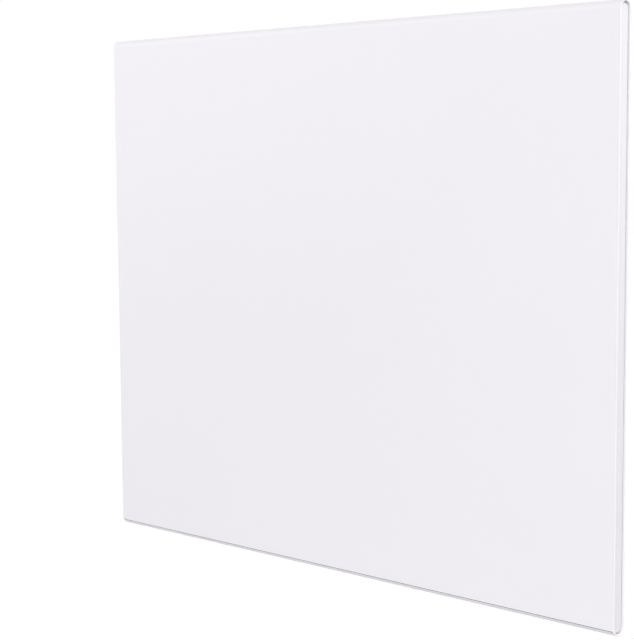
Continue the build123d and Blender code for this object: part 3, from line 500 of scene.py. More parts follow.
def glowFinish(slot, colour, glow, strength):
    # a lens or lit bar, brightest where the noise of its diffuser is thin
    tree, shader = startFinish(slot, colour)
    plainSkin(tree, shader, {"Colour": (*colour, 1), "Roughness": 0.3, "Drift": 0.1,
                             "Grain Size": 0.2 * mm, "Grain Height": 0.005 * mm})
    cloud = noise(tree, 900.0, 1.0)
    dimmer = tuple(part * 0.8 for part in glow)
    connect(tree, shader, {"Emission Color": mixColour(tree, cloud, (*glow, 1), (*dimmer, 1)),
                           "Emission Strength": strength})


def windowFinish(slot):
    # smoked clear window, faintly violet
    tree, shader = startFinish(slot, (0.2, 0.19, 0.26))
    marks = noise(tree, 180.0, 5.0)
    connect(tree, shader, {
        "Base Color": mixColour(tree, marks, (0.30, 0.28, 0.40, 1), (0.36, 0.34, 0.46, 1)),
        "Roughness": calc(tree, "MULTIPLY", marks, 0.1), "Transmission Weight": 1.0, "IOR": 1.45})


def boardFinish(slot):
    # green lacquer over copper tracks, with pale pads in rows
    tree, shader = startFinish(slot, (0.03, 0.2, 0.08))
    coords = ownPlace(tree)
    tracks = addNode(tree, "TexVoronoi", {"Vector": coords, "Scale": boardLook["trackCells"]},
                     feature="DISTANCE_TO_EDGE", distance="CHEBYCHEV")["Distance"]
    track = calc(tree, "LESS_THAN", tracks, boardLook["trackWidth"])
    lacquer = mixColour(tree, track, boardLook["lacquer"], boardLook["track"])
    pads = addNode(tree, "TexVoronoi", {"Vector": coords, "Scale": boardLook["padCells"],
                                        "Randomness": 0.4})["Distance"]
    pad = calc(tree, "LESS_THAN", pads, boardLook["padSize"])
    connect(tree, shader, {
        "Base Color": mixColour(tree, pad, lacquer, boardLook["pad"]),
        "Roughness": calc(tree, "ADD", calc(tree, "MULTIPLY", track, 0.1), 0.3),
        "Normal": bumped(tree, 0.5, boardLook["trackHeight"], track)})


def stripedFinish(slot, first, second, pitch):
    # two-coloured insulation, striped along the wire's run
    tree, shader = startFinish(slot, first)
    place = splitPlace(tree)
    along = (calc(tree, "MULTIPLY", place[axis], 1 / pitch) for axis in "XY")
    stripe = calc(tree, "GREATER_THAN", calc(tree, "FRACT", calc(tree, "ADD", *along)), 0.6)
    plainSkin(tree, shader, {"Colour": mixColour(tree, stripe, (*first, 1), (*second, 1)),
                             "Roughness": 0.45, "Grain Size": 0.4 * mm,
                             "Grain Height": 0.01 * mm})


# colour, roughness, grain's size and height in mm, and what differs from the plain look
skins = {
    # a brighter edge in these looks is a painted highlight
    "panel_paint": ((0.875, 0.852, 0.892), 0.42, 0.9, 0.012,
                    {"bare": "panel", "drift": 0.012, "scuff": 0.04, "edgeReach": 0.55 * mm,
                     "edgeTone": 1.13, "coat": 0.1}),
    "casing_paint": ((0.86, 0.845, 0.875), 0.38, 1.1, 0.015, {"bare": "casing"}),
    "grille_paint": ((0.86, 0.845, 0.875), 0.38, 1.1, 0.015, {"bare": "grille"}),
    "white_moulding": ((0.87, 0.85, 0.885), 0.44, 0.35, 0.012, {"edgeTone": 1.06}),
    "grey_moulding": ((0.72, 0.72, 0.755), 0.5, 0.3, 0.02, {"drift": 0.03}),
    "flap_moulding": ((0.84, 0.83, 0.86), 0.34, 0.5, 0.006, {"coat": 0.2}),
    "key_cap": ((0.88, 0.88, 0.90), 0.35, 0.3, 0.006, {"coat": 0.2}),
    "shadow_line": ((0.10, 0.10, 0.11), 0.7, 0.3, 0.01, {"drift": 0.1}),
    "print_black": ((0.012, 0.012, 0.016), 0.6, 0.15, 0.004, {"drift": 0.2, "gloss": 0.12}),
    "display_face": ((0.012, 0.012, 0.03), 0.3, 0.3, 0.004, {}),
    "unlit_lens": ((0.25, 0.25, 0.27), 0.3, 0.2, 0.004, {}),
    "key_rubber": ((0.45, 0.45, 0.47), 0.6, 0.4, 0.01, {"subsurface": 0.2}),
    "bush_ceramic": ((0.78, 0.75, 0.68), 0.7, 0.25, 0.03, {"drift": 0.08}),
    "black_part": ((0.02, 0.02, 0.022), 0.45, 0.3, 0.02, {"drift": 0.2, "edgeTone": 1.8}),
    "relay_blue": ((0.03, 0.10, 0.34), 0.3, 0.4, 0.005, {"coat": 0.3}),
    "transformer_core": ((0.06, 0.055, 0.05), 0.4, 0.6, 0.04, {"drift": 0.4}),
    "block_cream": ((0.74, 0.71, 0.61), 0.5, 0.4, 0.01, {"drift": 0.04}),
    "rocker_white": ((0.94, 0.895, 0.875), 0.28, 0.5, 0.004, {"coat": 0.4, "subsurface": 0.15}),
    "switch_white": ((0.86, 0.845, 0.87), 0.36, 0.4, 0.008, {}),
    "gland_grey": ((0.42, 0.42, 0.44), 0.55, 0.3, 0.02, {"drift": 0.05}),
    "brown_wire": ((0.13, 0.05, 0.02), 0.4, 0.5, 0.01, {}),
    "black_wire": ((0.015, 0.015, 0.015), 0.4, 0.5, 0.01, {}),
    "red_wire": ((0.36, 0.02, 0.02), 0.4, 0.5, 0.01, {}),
    "blue_wire": ((0.03, 0.08, 0.38), 0.4, 0.5, 0.01, {}),
}
metals = {
    "zinc_steel": ((0.62, 0.64, 0.66), 0.34, {"spangle": 0.22}),
    "element_steel": ((0.34, 0.31, 0.28), 0.45, {"spangle": 0.3, "patch": 14 * mm}),
    "fin_aluminium": ((0.78, 0.78, 0.80), 0.38, {"spangle": 0.06, "lines": 0.25}),
    "tab_brass": ((0.72, 0.52, 0.24), 0.3, {"spangle": 0.1}),
}
for slot, (colour, roughness, size, height, look) in skins.items():
    skinFinish(slot, colour, roughness, size * mm, height * mm, **look)
for slot, (colour, roughness, look) in metals.items():
    metalFinish(slot, colour, roughness, **look)
glowFinish("lit_digit", (0.05, 0.04, 0.4), (0.09, 0.07, 1.0), 2.3)
glowFinish("lit_lens", (0.02, 0.02, 0.5), (0.006, 0.008, 1.0), 0.6)
stripedFinish("earth_wire", (0.08, 0.32, 0.05), (0.75, 0.62, 0.05), 4.0 * mm)
stripedFinish("ribbon_grey", (0.45, 0.45, 0.47), (0.38, 0.38, 0.40), 2.54 * mm)
windowFinish("window_tint")
boardFinish("circuit_green")
for part in frame["record"]["subparts"]:
    materials = nodes[part["node"]].data.materials
    materials.clear()
    materials.append(finishes[part["material_slot"]])
print("finishes:", len(finishes))


# Housing: panel, caps, ends, casing, grilles and bracket with their edges rounded over

copyLook = {
    "weld": 2e-6,
    "flat": 0.6,  # degrees under which two faces become one
    "sharp": 32,  # degrees over which an edge is rounded
}
# slot, rounding and its steps
housing = {
    "front_panel": ("panel_paint", 0.45 * mm, 3),
    "end_cap_right": ("white_moulding", 0.35 * mm, 3),
    "end_cap_left": ("white_moulding", 0.35 * mm, 3),
    "end_right": ("white_moulding", 0.4 * mm, 3),
    "end_left": ("white_moulding", 0.4 * mm, 3),
    "rear_casing": ("casing_paint", 0.25 * mm, 2),
    "outlet_grille": ("grille_paint", 0.25 * mm, 2),
    "inlet_grille": ("grille_paint", 0.25 * mm, 2),
    "control_tray": ("grey_moulding", 0.2 * mm, 2),
    "control_fascia": ("grey_moulding", 0.25 * mm, 2),
    "wall_bracket": ("zinc_steel", 0.3 * mm, 2),
    "switch_body": ("switch_white", 0.35 * mm, 3),
    "terminal_block": ("block_cream", 0.4 * mm, 2),
}
for node, (slot, width, segments) in housing.items():
    softCopy(node, slot, "heater", width, segments)
softCopy("flap", "flap_moulding", "flap_cover", 0.45 * mm, 3)
print("housing dressed:", len(housing) + 1)


# Fold: a dark hairline of painted shade in the crease where the panel's face turns under along its
# lower edge

foldLook = {
    "angle": 40.0,       # degrees from the face to the fold's flat
    "along": 0.35 * mm,  # line's middle from the corner
    "width": 0.5 * mm,
    "proud": 0.03 * mm,
    "short": 1.0 * mm,   # line's ends in from the panel's
    "flat": 0.01 * mm,   # points this near the face's plane are on the face
}


def makeFoldShadeLine():
    # a flat bar on the fold's flat; the corner is the lowest point of the panel's flat face
    low, high = boxOf("front_panel")
    points = pointsOf("front_panel")
    corner = points[np.abs(points[:, 1] - low[1]) < foldLook["flat"], 2].min()
    angle = radians(foldLook["angle"])
    along = np.array([sin(angle), -cos(angle)])
    out = np.array([-cos(angle), -sin(angle)])
    start = np.array([low[1], corner]) + along * (foldLook["along"] - foldLook["width"] / 2)
    end = start + along * foldLook["width"]
    rise = out * foldLook["proud"]
    bar = carry([start - rise, end - rise, end + rise, start + rise],
                low[0] + foldLook["short"], high[0] - foldLook["short"],
                [[0, 1, 2, 3], [4, 5, 6, 7]])
    # the dark bar paints the shade along the crease
    addPiece("foldShadeLine", [bar], "shadow_line")


makeFoldShadeLine()
print("fold line done")


# Hinge shade: a black strip behind the control surface as painted shade in the gap at the hinge,
# parted where the flap's arm passes

hingeShadeLook = {
    "depth": 2.0 * mm,  # from the control surface's back edge towards the wall
    "below": 1.8 * mm,  # strip's top under the control surface
    "thickness": 0.7 * mm,
    "cut": 0.15 * mm,   # cut corners
    "foot": 3.0 * mm,   # lowest part of the flap, where only its arms reach
    "clear": 0.3 * mm,  # left free on each side of the arm
    "end": 6.0 * mm,    # strip's right hand end past the arm
}


def flapArmSpan():
    # x range of the flap's lowest points on its right half, which is where the near arm stands
    points = pointsOf("flap")
    low, high = boxOf("flap")
    lowest = points[:, 2] < low[2] + hingeShadeLook["foot"]
    arm = points[lowest & (points[:, 0] > (low[0] + high[0]) / 2), 0]
    return arm.min() - hingeShadeLook["clear"], arm.max() + hingeShadeLook["clear"]


def hingeShadeBar(left, right):
    # oblong section with its upper corners cut
    front, high = fasciaHigh[1], fasciaHigh[2] - hingeShadeLook["below"]
    back, low, cut = front + hingeShadeLook["depth"], high - hingeShadeLook["thickness"], hingeShadeLook["cut"]
    section = [(front, low), (back, low), (back, high - cut), (back - cut, high),
               (front + cut, high), (front, high - cut)]
    return carry(section, left, right, [[0, 1, 2, 5], [2, 3, 4, 5], [6, 7, 8, 11], [8, 9, 10, 11]])


fasciaLow, fasciaHigh = boxOf("control_fascia")
armLeft, armRight = flapArmSpan()
hingeShadeBars = [hingeShadeBar(fasciaLow[0], armLeft), hingeShadeBar(armRight, armRight + hingeShadeLook["end"])]
# dark strip that paints the shade in the gap behind the control surface
addPiece("hingeShadeStrip", hingeShadeBars, "black_part")
print("seal done")


# Keys: dished caps with printed signs, and a dark ring round each as painted shade in the gap
# about the key

keyLook = {
    "edge": 0.55 * mm,    # rounding of a cap's rim
    "dish": 0.22 * mm,    # width of the dark ring of painted shade
    "ring": 0.5 * mm,     # width of the dark ring
    "ringGap": 0.3 * mm,  # ring outside the cap's rim
    "print": 0.04 * mm,   # thickness of ink
    "stroke": 1.55 * mm,  # width of a sign's strokes
    "size": 3.5 * mm,     # half size of a sign
    "thin": {"timer": 0.85, "lock": 0.55},  # finer signs' strokes, share of the others'
}
# In units of half a sign: x right and y up as the person in front reads it
keySigns = {
    "lock": [line(-0.8, -0.9, -0.8, 0.9), line(0.75, -1.0, 0.75, 1.0), line(-0.8, 0.7, 0.7, 0.7),
             line(-0.8, -0.7, 0.7, -0.7), line(0.45, -0.65, 0.45, 0.65)],
    "mode": [line(-0.9, -0.8, -0.9, 0.8), line(0.9, -0.8, 0.9, 0.8),
             line(-0.9, 0.75, 0, -0.15), line(0.9, 0.75, 0, -0.15)],
    "power": [arc((0, 0), 1.05, 125, 415), line(0, 0.25, 0, 1.25)],
    "timer": [ring((0, 0), 1.15), line(0, 0, 0, 0.5), line(0, 0, 0.35, -0.1)],
    "minus": [line(-1, 0, 1, 0)],
    "plus": [line(-1, 0, 1, 0), line(0, -1, 0, 1)],
}


def dishHeight(points, centre, radius):
    # height of a cap's face below its rim: deepest in the middle, as the square of the distance
    away = np.linalg.norm(points - centre, axis=-1) / radius
    return -keyLook["dish"] * np.clip(1 - away ** 2, 0, 1)


def makeKey(sign):
    # a cap and its sign, which move together
    name, body = "button_" + sign, "key_" + sign
    low, high = boxOf(name)
    centre, radius = (low[:2] + high[:2]) / 2, (high[0] - low[0]) / 2
    edge, bend = keyLook["edge"], np.linspace(pi / 2, 0, 7)
    face = np.linspace(0, radius - edge, 8)
    top = np.c_[face, -keyLook["dish"] * (1 - (face / radius) ** 2)]
    rim = np.c_[radius - edge + edge * np.cos(bend), edge * np.sin(bend) - edge]
    side = np.array([(radius, low[2] - high[2]), (0, low[2] - high[2])])
    cap = lathe(np.concatenate([top, rim, side]), (*centre, high[2]), 64)
    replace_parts(addPiece(name + "Cap", [cap], "key_cap", body), name)
    ink, stroke = keyLook["print"], keyLook["stroke"] * keyLook["thin"].get(sign, 1.0)
    bars = signBars(keySigns[sign], centre, keyLook["size"], stroke, high[2] - ink, high[2] + ink,
                    lambda points: dishHeight(points, centre, radius))
    addPiece(name + "Sign", bars, "print_black", body)


def makeKeyGapShade():
    # dark rings on the control surface paint the shade in the gaps round the keys
    rings, ink = [], keyLook["print"]
    for sign in keySigns:
        low, high = boxOf("button_" + sign)
        radius = (high[0] - low[0]) / 2 + keyLook["ringGap"] + keyLook["ring"] / 2
        rings.append(ribbon(ring((low[:2] + high[:2]) / 2, radius, 72), keyLook["ring"],
                            fasciaHigh[2] - ink, fasciaHigh[2] + ink))
    addPiece("keyRings", rings, "print_black")


for sign in keySigns:
    makeKey(sign)
makeKeyGapShade()
print("keys:", len(keySigns))


# Display: lit bars under the smoked window

displayLook = {
    "digits": "26",
    "digitHeight": 10.5 * mm,
    "digitWidth": 5.6 * mm,
    "digitGap": 3.4 * mm,
    "bar": 0.95 * mm,  # width of a lit bar
    "tip": 0.62,       # length of a bar's pointed end, share of its width
    "parting": 0.4,    # how far a bar's ends are drawn in, share of that length
    "sunk": 0.02 * mm,
    "thickness": 0.12 * mm,
    "lean": 0.12,      # x travelled for each unit of height
}
# Bar a is the top one, b to f run clockwise from it, and g is the middle one
litBars = {"0": "abcdef", "1": "bc", "2": "abged", "3": "abgcd", "4": "fgbc", "5": "afgcd",
           "6": "afgedc", "7": "abc", "8": "abcdefg", "9": "abcdfg"}
# Each bar's start and end, in half widths and half heights of a digit
barEnds = {"a": ((-1, 1), (1, 1)), "b": ((1, 0), (1, 1)), "c": ((1, -1), (1, 0)),
           "d": ((-1, -1), (1, -1)), "e": ((-1, -1), (-1, 0)), "f": ((-1, 0), (-1, 1)),
           "g": ((-1, 0), (1, 0))}


def digitBar(letter, centre):
    # outline of one bar of a seven bar digit, with pointed ends
    half = np.array([displayLook["digitWidth"] / 2, displayLook["digitHeight"] / 2])
    start, end = np.array(barEnds[letter]) * half
    along = (end - start) / np.linalg.norm(end - start)
    across = np.array([-along[1], along[0]]) * displayLook["bar"] / 2
    tip = along * (displayLook["bar"] * displayLook["tip"])
    start, end = start + tip * displayLook["parting"], end - tip * displayLook["parting"]
    outline = np.array([start, start + tip + across, end - tip + across, end,
                        end - tip - across, start + tip - across])
    outline[:, 0] += outline[:, 1] * displayLook["lean"]
    return outline + centre


def makeDigits():
    low, high = boxOf("display_module")
    middle, digits = (low[:2] + high[:2]) / 2, displayLook["digits"]
    step = displayLook["digitWidth"] + displayLook["digitGap"]
    bars = []
    for index, digit in enumerate(digits):
        centre = middle + np.array([(index - (len(digits) - 1) / 2) * step, 0])
        for letter in litBars[digit]:
            points, faces = carry(digitBar(letter, centre), high[2] - displayLook["sunk"],
                                  high[2] + displayLook["thickness"],
                                  [[0, 1, 2, 3], [0, 3, 4, 5], [6, 9, 8, 7], [6, 11, 10, 9]])
            bars.append((np.roll(points, -1, axis=1), faces))
    addPiece("displayDigits", bars, "lit_digit", sharp=30)


makeDigits()
print("digits:", len(displayLook["digits"]))


# Lights: a row of domed lenses, one of them unlit, each with a small sign behind it

lightLook = {
    "dome": 0.35 * mm,     # height of a lens above the control surface
    "signAway": 4.6 * mm,  # sign behind its light
    "signSize": 2.0 * mm,  # half size of a sign
    "stroke": 0.55 * mm,
    "print": 0.03 * mm,
}
rays = [line(0.75 * cos(angle), 0.75 * sin(angle), 1.15 * cos(angle), 1.15 * sin(angle), 3)
        for angle in np.linspace(0, 2 * pi, 8, endpoint=False)]
# From left to right, in units of half a sign: clock, oval, grid, sun, ring and arrow, waves
lightSigns = [
    [ring((0, 0), 1.0), line(0, 0, 0, 0.6), line(0, 0, 0.4, 0)],
    [ring((0, 0), 0.75, squash=1.3), line(0, -0.9, 0, 0.9), ring((0, 0), 0.35, squash=1.3)],
    [line(-0.9, 0.8, 0.9, 0.8), line(-0.9, -0.8, 0.9, -0.8),
     *(line(x, -1.1, x, 1.1) for x in (-0.75, -0.25, 0.25, 0.75))],
    [ring((0, 0), 0.45), *rays],
    [arc((0, -0.2), 0.8, 20, 340), line(0.2, 0.1, 0.9, 0.8), line(0.2, 0.8, 0.9, 0.8),
     line(0.9, 0.2, 0.9, 0.8)],
    [ring((0, 0), 1.05), arc((0, -0.3), 0.7, 40, 140), arc((0, -0.3), 0.35, 40, 140)],
]


def makeLens(x, y, radius, low, high):
    # clear rod with a shallow domed end
    angle = np.linspace(pi / 2, 0, 8)
    dome = np.c_[radius * np.cos(angle), lightLook["dome"] * np.sin(angle)]
    return lathe(np.concatenate([dome, [(radius, low - high), (0, low - high)]]), (x, y, high), 24)


def makeLights():
    # the lights stand in one row, evenly spaced
    low, high = boxOf("lights_lit")
    darkLow, darkHigh = boxOf("light_unlit")
    radius, count = (darkHigh[0] - darkLow[0]) / 2, len(lightSigns)
    row, y = np.linspace(low[0] + radius, high[0] - radius, count), (low[1] + high[1]) / 2
    unlit = int(np.argmin(np.abs(row - (darkLow[0] + darkHigh[0]) / 2)))
    lenses = [makeLens(x, y, radius, low[2], high[2]) for x in row]
    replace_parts(addPiece("unlitLens", [lenses.pop(unlit)], "unlit_lens"), "light_unlit")
    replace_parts(addPiece("litLenses", lenses, "lit_lens"), "lights_lit")
    signs, ink = [], lightLook["print"]
    for x, strokes in zip(row, lightSigns):
        centre = np.array([x, y + lightLook["signAway"]])
        signs += signBars(strokes, centre, lightLook["signSize"], lightLook["stroke"],
                          fasciaHigh[2] - ink, fasciaHigh[2] + ink)
    addPiece("lightSigns", signs, "print_black")


makeLights()
print("lights:", len(lightSigns))


# Rocker switch: a dished rocker with its two signs

rockerLook = {
    "tilt": 7.0,          # degrees, the upper end pressed in
    "face": 6.6 * mm,     # face's ends from the pin
    "dip": 1.4 * mm,      # face's middle below its ends
    "half": (4.95 * mm, 15.9 * mm),
    "corner": 0.16,       # power that squares the outline: 1 is an oval, 0 an oblong
    "edge": 0.7 * mm,
    "depth": 8.5 * mm,
    "skirt": 1.6 * mm,    # skirt's foot from the pin
    "skirtIn": 0.6 * mm,  # how far the foot's ends are in from the face's
    "root": 3.0,          # how many times shorter than the face the root is
    "inner": 0.02,        # innermost rings, share of the outline
    "print": 0.05 * mm,
    "signAway": 7.8 * mm,
    "ring": 2.1 * mm,     # ring sign's radius
    "bar": 2.3 * mm,      # bar sign's half length
    "stroke": 0.72 * mm,
}


def rockerPlace(local, pivot):
    # from the rocker's own frame (out, across, up) to the heater's, turned about the pin
    angle = radians(-rockerLook["tilt"])
    out, across, up = np.moveaxis(np.asarray(local), -1, 0)
    return np.stack([pivot[0] + out * cos(angle) + up * sin(angle), pivot[1] + across,
                     pivot[2] - out * sin(angle) + up * cos(angle)], axis=-1)


def rockerFace(up):
    # the face over the pin: a shallow hollow, as the square of the distance from the middle
    return rockerLook["face"] - rockerLook["dip"] * (1 - (up / rockerLook["half"][1]) ** 2)


def makeRocker(pivot):
    # rings of a rounded oblong, from the face's middle round its edge to the skirt and the root
    (halfY, halfZ), edge = rockerLook["half"], rockerLook["edge"]
    root, inner = rockerLook["face"] - rockerLook["depth"], rockerLook["inner"]
    turn = np.linspace(0, 2 * pi, 96, endpoint=False)
    y, z = (np.sign(wave) * np.abs(wave) ** rockerLook["corner"]
            for wave in (np.cos(turn), np.sin(turn)))
    rings = []
    for scale in np.linspace(inner, 1.0, 10):
        up = z * (halfZ - edge) * scale
        rings.append((rockerFace(up), y * (halfY - edge) * scale, up))
    for angle in np.linspace(0, pi / 2, 6)[1:]:
        up = z * (halfZ - edge + edge * sin(angle))
        rings.append((rockerFace(up) - edge * (1 - cos(angle)),
                      y * (halfY - edge + edge * sin(angle)), up))
    for out, across, up in ((rockerLook["skirt"], y * halfY, z * (halfZ - rockerLook["skirtIn"])),
                            (root, y * halfY, z * halfZ / rockerLook["root"]),
                            (root, y * halfY * inner, z * halfZ * inner)):
        rings.append((np.full_like(turn, out), across, up))
    count = len(turn)
    last = (len(rings) - 1) * count
    faces = gridFaces(len(rings), count, wrapColumns=True).tolist()
    faces += [list(range(count)), list(range(last, last + count))]
    points = rockerPlace(np.moveaxis(np.array(rings), 1, -1), pivot)
    piece = addPiece("rockerDished", [(points, faces)], "rocker_white", "rocker_switch", 40, 0)
    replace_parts(piece, "rocker")


def makeRockerSigns(pivot):
    # a ring at the upper end and a bar at the lower end, printed on the face
    away, ink, bar = rockerLook["signAway"], rockerLook["print"], rockerLook["bar"]
    signs = []
    for stroke in (ring((0, away), rockerLook["ring"]), line(0, -away - bar, 0, bar - away)):
        points, faces = ribbon(stroke, rockerLook["stroke"], -ink, ink,
                               lambda flat: rockerFace(flat[:, 1]))
        signs.append((rockerPlace(points[:, [2, 0, 1]], pivot), faces))
    addPiece("rockerSigns", signs, "print_black", "rocker_switch")


rockerPivot = sum(boxOf("rocker_pin")) / 2
makeRocker(rockerPivot)
makeRockerSigns(rockerPivot)
print("rocker done")


# Screws: domed heads with a cross recess, three down each edge of the rear casing

screwLook = {
    "radius": 3.0 * mm,
    "height": 1.8 * mm,
    "stem": 1.5 * mm,    # stem's radius
    "stemLength": 1.2 * mm,
    "middle": 180 * mm,  # middle screw above the lowest
    "turned": 0.5,       # radians from one head's cross to the next
    "cross": 0.34,       # arm width of the recess, share of the head's radius
    "reach": 0.62,       # arm length, share of the head's radius
    "deep": 0.55,        # depth, share of the head's height
    "wall": 0.05,        # width of the recess's sloping walls, share of the radius
    "armEnd": 0.08,      # the same at its arms' ends
    "shallower": 0.4,    # share of the depth that is lost towards the rim
    "crown": 0.45,       # fall of the dome to its rim, share of its height
    "crownPower": 2.4,   # how late the dome falls
}


def recessArm(across, along):
    # 1 in one arm of the cross, fading out at its walls and ends
    wall = (screwLook["cross"] / 2 - np.abs(across)) / screwLook["wall"]
    end = (screwLook["reach"] - np.abs(along)) / screwLook["armEnd"]
    return np.clip(wall, 0, 1) * np.clip(end, 0, 1)


def screwHead(centre, turned):
    # dome over (distance, angle) less a cross, facing the wall, then its underside and stem
    axis, radius, height = np.array([0.0, 1.0, 0.0]), screwLook["radius"], screwLook["height"]
    turn = np.linspace(0, 2 * pi, 48, endpoint=False) + turned
    away, angle = np.meshgrid(np.linspace(0, 1, 26), turn, indexing="ij")
    along, across = away * np.cos(angle - turned), away * np.sin(angle - turned)
    cross = np.maximum(recessArm(across, along), recessArm(along, across))
    dome = height * (1 - screwLook["crown"] * away ** screwLook["crownPower"])
    rise = dome - height * screwLook["deep"] * cross * (1 - screwLook["shallower"] * away)
    around = outwards(axis, angle)
    top = np.array(centre) + (radius * away)[..., None] * around + rise[..., None] * axis
    stem, foot = screwLook["stem"], -screwLook["stemLength"]
    below = [np.array(centre) + out * around[0] + up * axis
             for out, up in ((radius, 0.0), (stem, 0.0), (stem, foot), (0.0, foot))]
    grid = np.concatenate([top, below])
    return grid, gridFaces(len(grid), len(turn), wrapColumns=True)


def makeCasingScrews():
    low, high = boxOf("casing_screws")
    radius, y = screwLook["radius"], high[1] - screwLook["height"]
    lowest = low[2] + radius
    places = [(x, y, z) for x in (low[0] + radius, high[0] - radius)
              for z in (lowest, lowest + screwLook["middle"], high[2] - radius)]
    heads = [screwHead(place, screwLook["turned"] * index) for index, place in enumerate(places)]
    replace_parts(addPiece("casingScrewHeads", heads, "zinc_steel"), "casing_screws")


makeCasingScrews()
print("screws done")


# Cord gland: ribbed nut with a rounded mouth

glandLook = {
    "bore": 3.6 * mm,
    "neck": 6.5 * mm,
    "flange": 9.0 * mm,
    "lip": 2.0 * mm,      # grip's thickness behind the casing
    "taper": 0.2 * mm,    # neck's loss of radius towards its mouth
    "ribs": 24,
    "ribDepth": 0.35 * mm,
    "ribFlat": 1.6,       # over 1, ribs and grooves are flat, with sloping sides
    "round": 0.6 * mm,
    "bend": 0.3,          # corner's middle point, share of the rounding
    "mouth": (0.5, 0.2),  # the same at the outer edge of the mouth, in and down
}


def makeGland():
    # closed profile of (radius, y) carried round the bore; the grip's radius rises and falls
    low, high = boxOf("cord_gland")
    x, z, mouth = (low[0] + high[0]) / 2, (low[2] + high[2]) / 2, high[1]
    inside, back = (corner[1] for corner in boxOf("rear_casing"))
    bore, neck, flange, soft = (glandLook[key] for key in ("bore", "neck", "flange", "round"))
    lip, bend = back + glandLook["lip"], glandLook["bend"] * soft
    edgeIn, edgeDown = (share * soft for share in glandLook["mouth"])
    head = [(bore, low[1] + soft), (bore + soft, low[1]), (flange - soft, low[1]),
            (flange, low[1] + soft), (flange, inside), (neck, inside), (neck, back)]
    grip = [(flange, back), (flange, lip - soft), (flange - bend, lip - bend)]
    tube = [(flange - soft, lip), (neck, lip), (neck - glandLook["taper"], mouth - soft),
            (neck - edgeIn, mouth - edgeDown), (neck - soft, mouth), (bore + soft, mouth),
            (bore + bend, mouth - bend), (bore, mouth - soft)]
    radius, depth = np.array(head + grip + tube).T
    ribbed = np.repeat([0.0, 1.0, 0.0], [len(head), len(grip), len(tube)])
    ribs, ribDepth = glandLook["ribs"], glandLook["ribDepth"]
    turn = np.linspace(0, 2 * pi, ribs * 8, endpoint=False)[:, None]
    wave = ribDepth * np.clip(np.cos(ribs * turn) * glandLook["ribFlat"], -1, 1)
    around = radius - ribbed * (ribDepth - wave) / 2
    points = np.stack([x + around * np.cos(turn), np.broadcast_to(depth, around.shape),
                       z + around * np.sin(turn)], axis=-1)
    faces = gridFaces(len(turn), len(depth), True, True)
    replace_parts(addPiece("ribbedGland", [(points, faces)], "gland_grey"), "cord_gland")


makeGland()
print("gland done")


# Stage: pale floor, soft lamps and the camera

stageLook = {
    "floorBelow": 0.55,     # floor under the heater's lowest edge
    "floorHalf": 14.0,
    "floorColour": (0.62, 0.62, 0.62),
    "floorLift": 0.55,      # light added where the floor is seen, so that only shadows are grey
    "floorRough": 0.9,
    "floorGloss": 0.1,
    "floorNoise": 1.5,      # clouds in a metre
    "sky": (0.98, 0.98, 1.0, 1),
    "ambient": 0.46,
    "below": 0.72,          # share of the ambient light that comes from below
    "growth": (-0.6, 0.4),  # upward directions between which that share grows to 1
}
# each lamp's place, spread in degrees and strength
lamps = {
    "key": ((0.75, -1.45, 0.5), 30, 1.65),
    "side": ((1.4, 2.0, 0.5), 40, 1.3),
    "fill": ((-1.6, -1.2, 0.5), 60, 0.5),
    "back": ((-1.4, 2.0, 0.5), 60, 0.5),
}
cameraLook = {
    "at": (0.8479, -0.9941, 0.1138),
    "turned": 43.466,  # degrees to the left of straight at the wall
    "raised": -5.843,
    "rolled": -0.422,
    "focal": 1604.68,  # in widths of one picture point
    "picture": (634, 640),
    "sensor": 36.0,
    "clip": (0.01, 60.0),
}


def whereSeen(tree, hidden, seen):
    # one shader where the camera sees it, also in a reflection or through clear plastic, and
    # another for the light that falls on things
    path = addNode(tree, "LightPath")
    ray = calc(tree, "MAXIMUM", path["Is Camera Ray"],
               calc(tree, "MAXIMUM", path["Is Glossy Ray"], path["Is Transmission Ray"]))
    return addNode(tree, "MixShader", {0: ray, 1: hidden, 2: seen})[0]


def floorFinish():
    # matt surface that takes shadows, lifted towards white where it is seen
    colour = stageLook["floorColour"]
    tree, shader = startFinish("floor_white", colour)
    cloud = noise(tree, stageLook["floorNoise"], 2.0)
    darker = tuple(part * 0.99 for part in colour)
    connect(tree, shader, {"Base Color": mixColour(tree, cloud, (*colour, 1), (*darker, 1)),
                           "Roughness": stageLook["floorRough"],
                           "Specular IOR Level": stageLook["floorGloss"]})
    plain = shader.outputs[0]
    lift = addNode(tree, "Emission", {0: (1, 1, 1, 1), 1: stageLook["floorLift"]})[0]
    lifted = addNode(tree, "AddShader", {0: plain, 1: lift})[0]
    connect(tree, tree.nodes["Material Output"], {"Surface": whereSeen(tree, plain, lifted)})


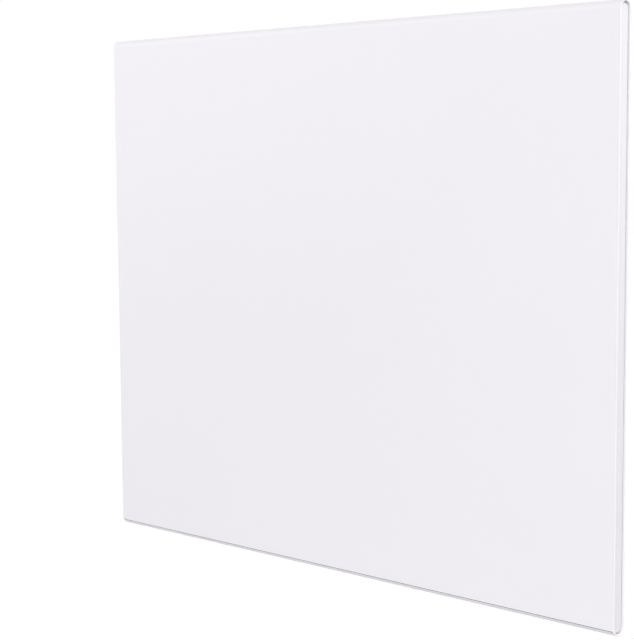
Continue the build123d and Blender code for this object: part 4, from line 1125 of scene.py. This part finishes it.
def makeFloor():
    half, low = stageLook["floorHalf"], cadBox[0][2] - stageLook["floorBelow"]
    corners = [(-half, -half, low), (half, -half, low), (half, half, low), (-half, half, low)]
    mesh = bpy.data.meshes.new("floor")
    mesh.from_pydata(corners, [], [(0, 1, 2, 3)])
    floor = bpy.data.objects.new("floor", mesh)
    bpy.context.scene.collection.objects.link(floor)
    floorFinish()
    mesh.materials.append(finishes["floor_white"])


def makeWorld():
    # soft even light, brighter above than below, and white where it is seen past everything
    world = bpy.data.worlds.new("studio")
    bpy.context.scene.world = world
    world.use_nodes = True
    tree = world.node_tree
    tree.nodes.clear()
    up = addNode(tree, "SeparateXYZ", {0: addNode(tree, "TexCoord")["Generated"]})["Z"]
    start, end = stageLook["growth"]
    share = addNode(tree, "MapRange", {0: up, 1: start, 2: end, 3: stageLook["below"], 4: 1.0})[0]
    strength = calc(tree, "MULTIPLY", share, stageLook["ambient"])
    soft = addNode(tree, "Background", {0: stageLook["sky"], 1: strength})[0]
    white = addNode(tree, "Background", {0: (1, 1, 1, 1), 1: 1.0})[0]
    addNode(tree, "OutputWorld", {"Surface": whereSeen(tree, soft, white)})


def makeLamp(name, place, spread, strength):
    # a sun that shines from a place towards the frame's origin
    lamp = bpy.data.lights.new(name, "SUN")
    lamp.angle = radians(spread)
    lamp.energy = strength
    holder = bpy.data.objects.new(name + "Lamp", lamp)
    holder.location = place
    holder.rotation_euler = (-Vector(place)).to_track_quat("-Z", "Y").to_euler()
    bpy.context.scene.collection.objects.link(holder)


def makeCamera():
    camera = bpy.data.cameras.new("camera")
    camera.sensor_fit = "AUTO"
    camera.sensor_width = cameraLook["sensor"]
    camera.lens = cameraLook["focal"] * camera.sensor_width / max(cameraLook["picture"])
    camera.clip_start, camera.clip_end = cameraLook["clip"]
    holder = bpy.data.objects.new("camera", camera)
    turn = Matrix.Rotation(radians(cameraLook["turned"]), 4, "Z")
    lift = Matrix.Rotation(radians(90 + cameraLook["raised"]), 4, "X")
    roll = Matrix.Rotation(radians(cameraLook["rolled"]), 4, "Z")
    holder.matrix_world = Matrix.Translation(cameraLook["at"]) @ (turn @ lift @ roll)
    bpy.context.scene.collection.objects.link(holder)
    bpy.context.scene.camera = holder


makeFloor()
makeWorld()
for name, look in lamps.items():
    makeLamp(name, *look)
makeCamera()
bpy.context.scene.view_settings.view_transform = "Standard"
print("stage ready")
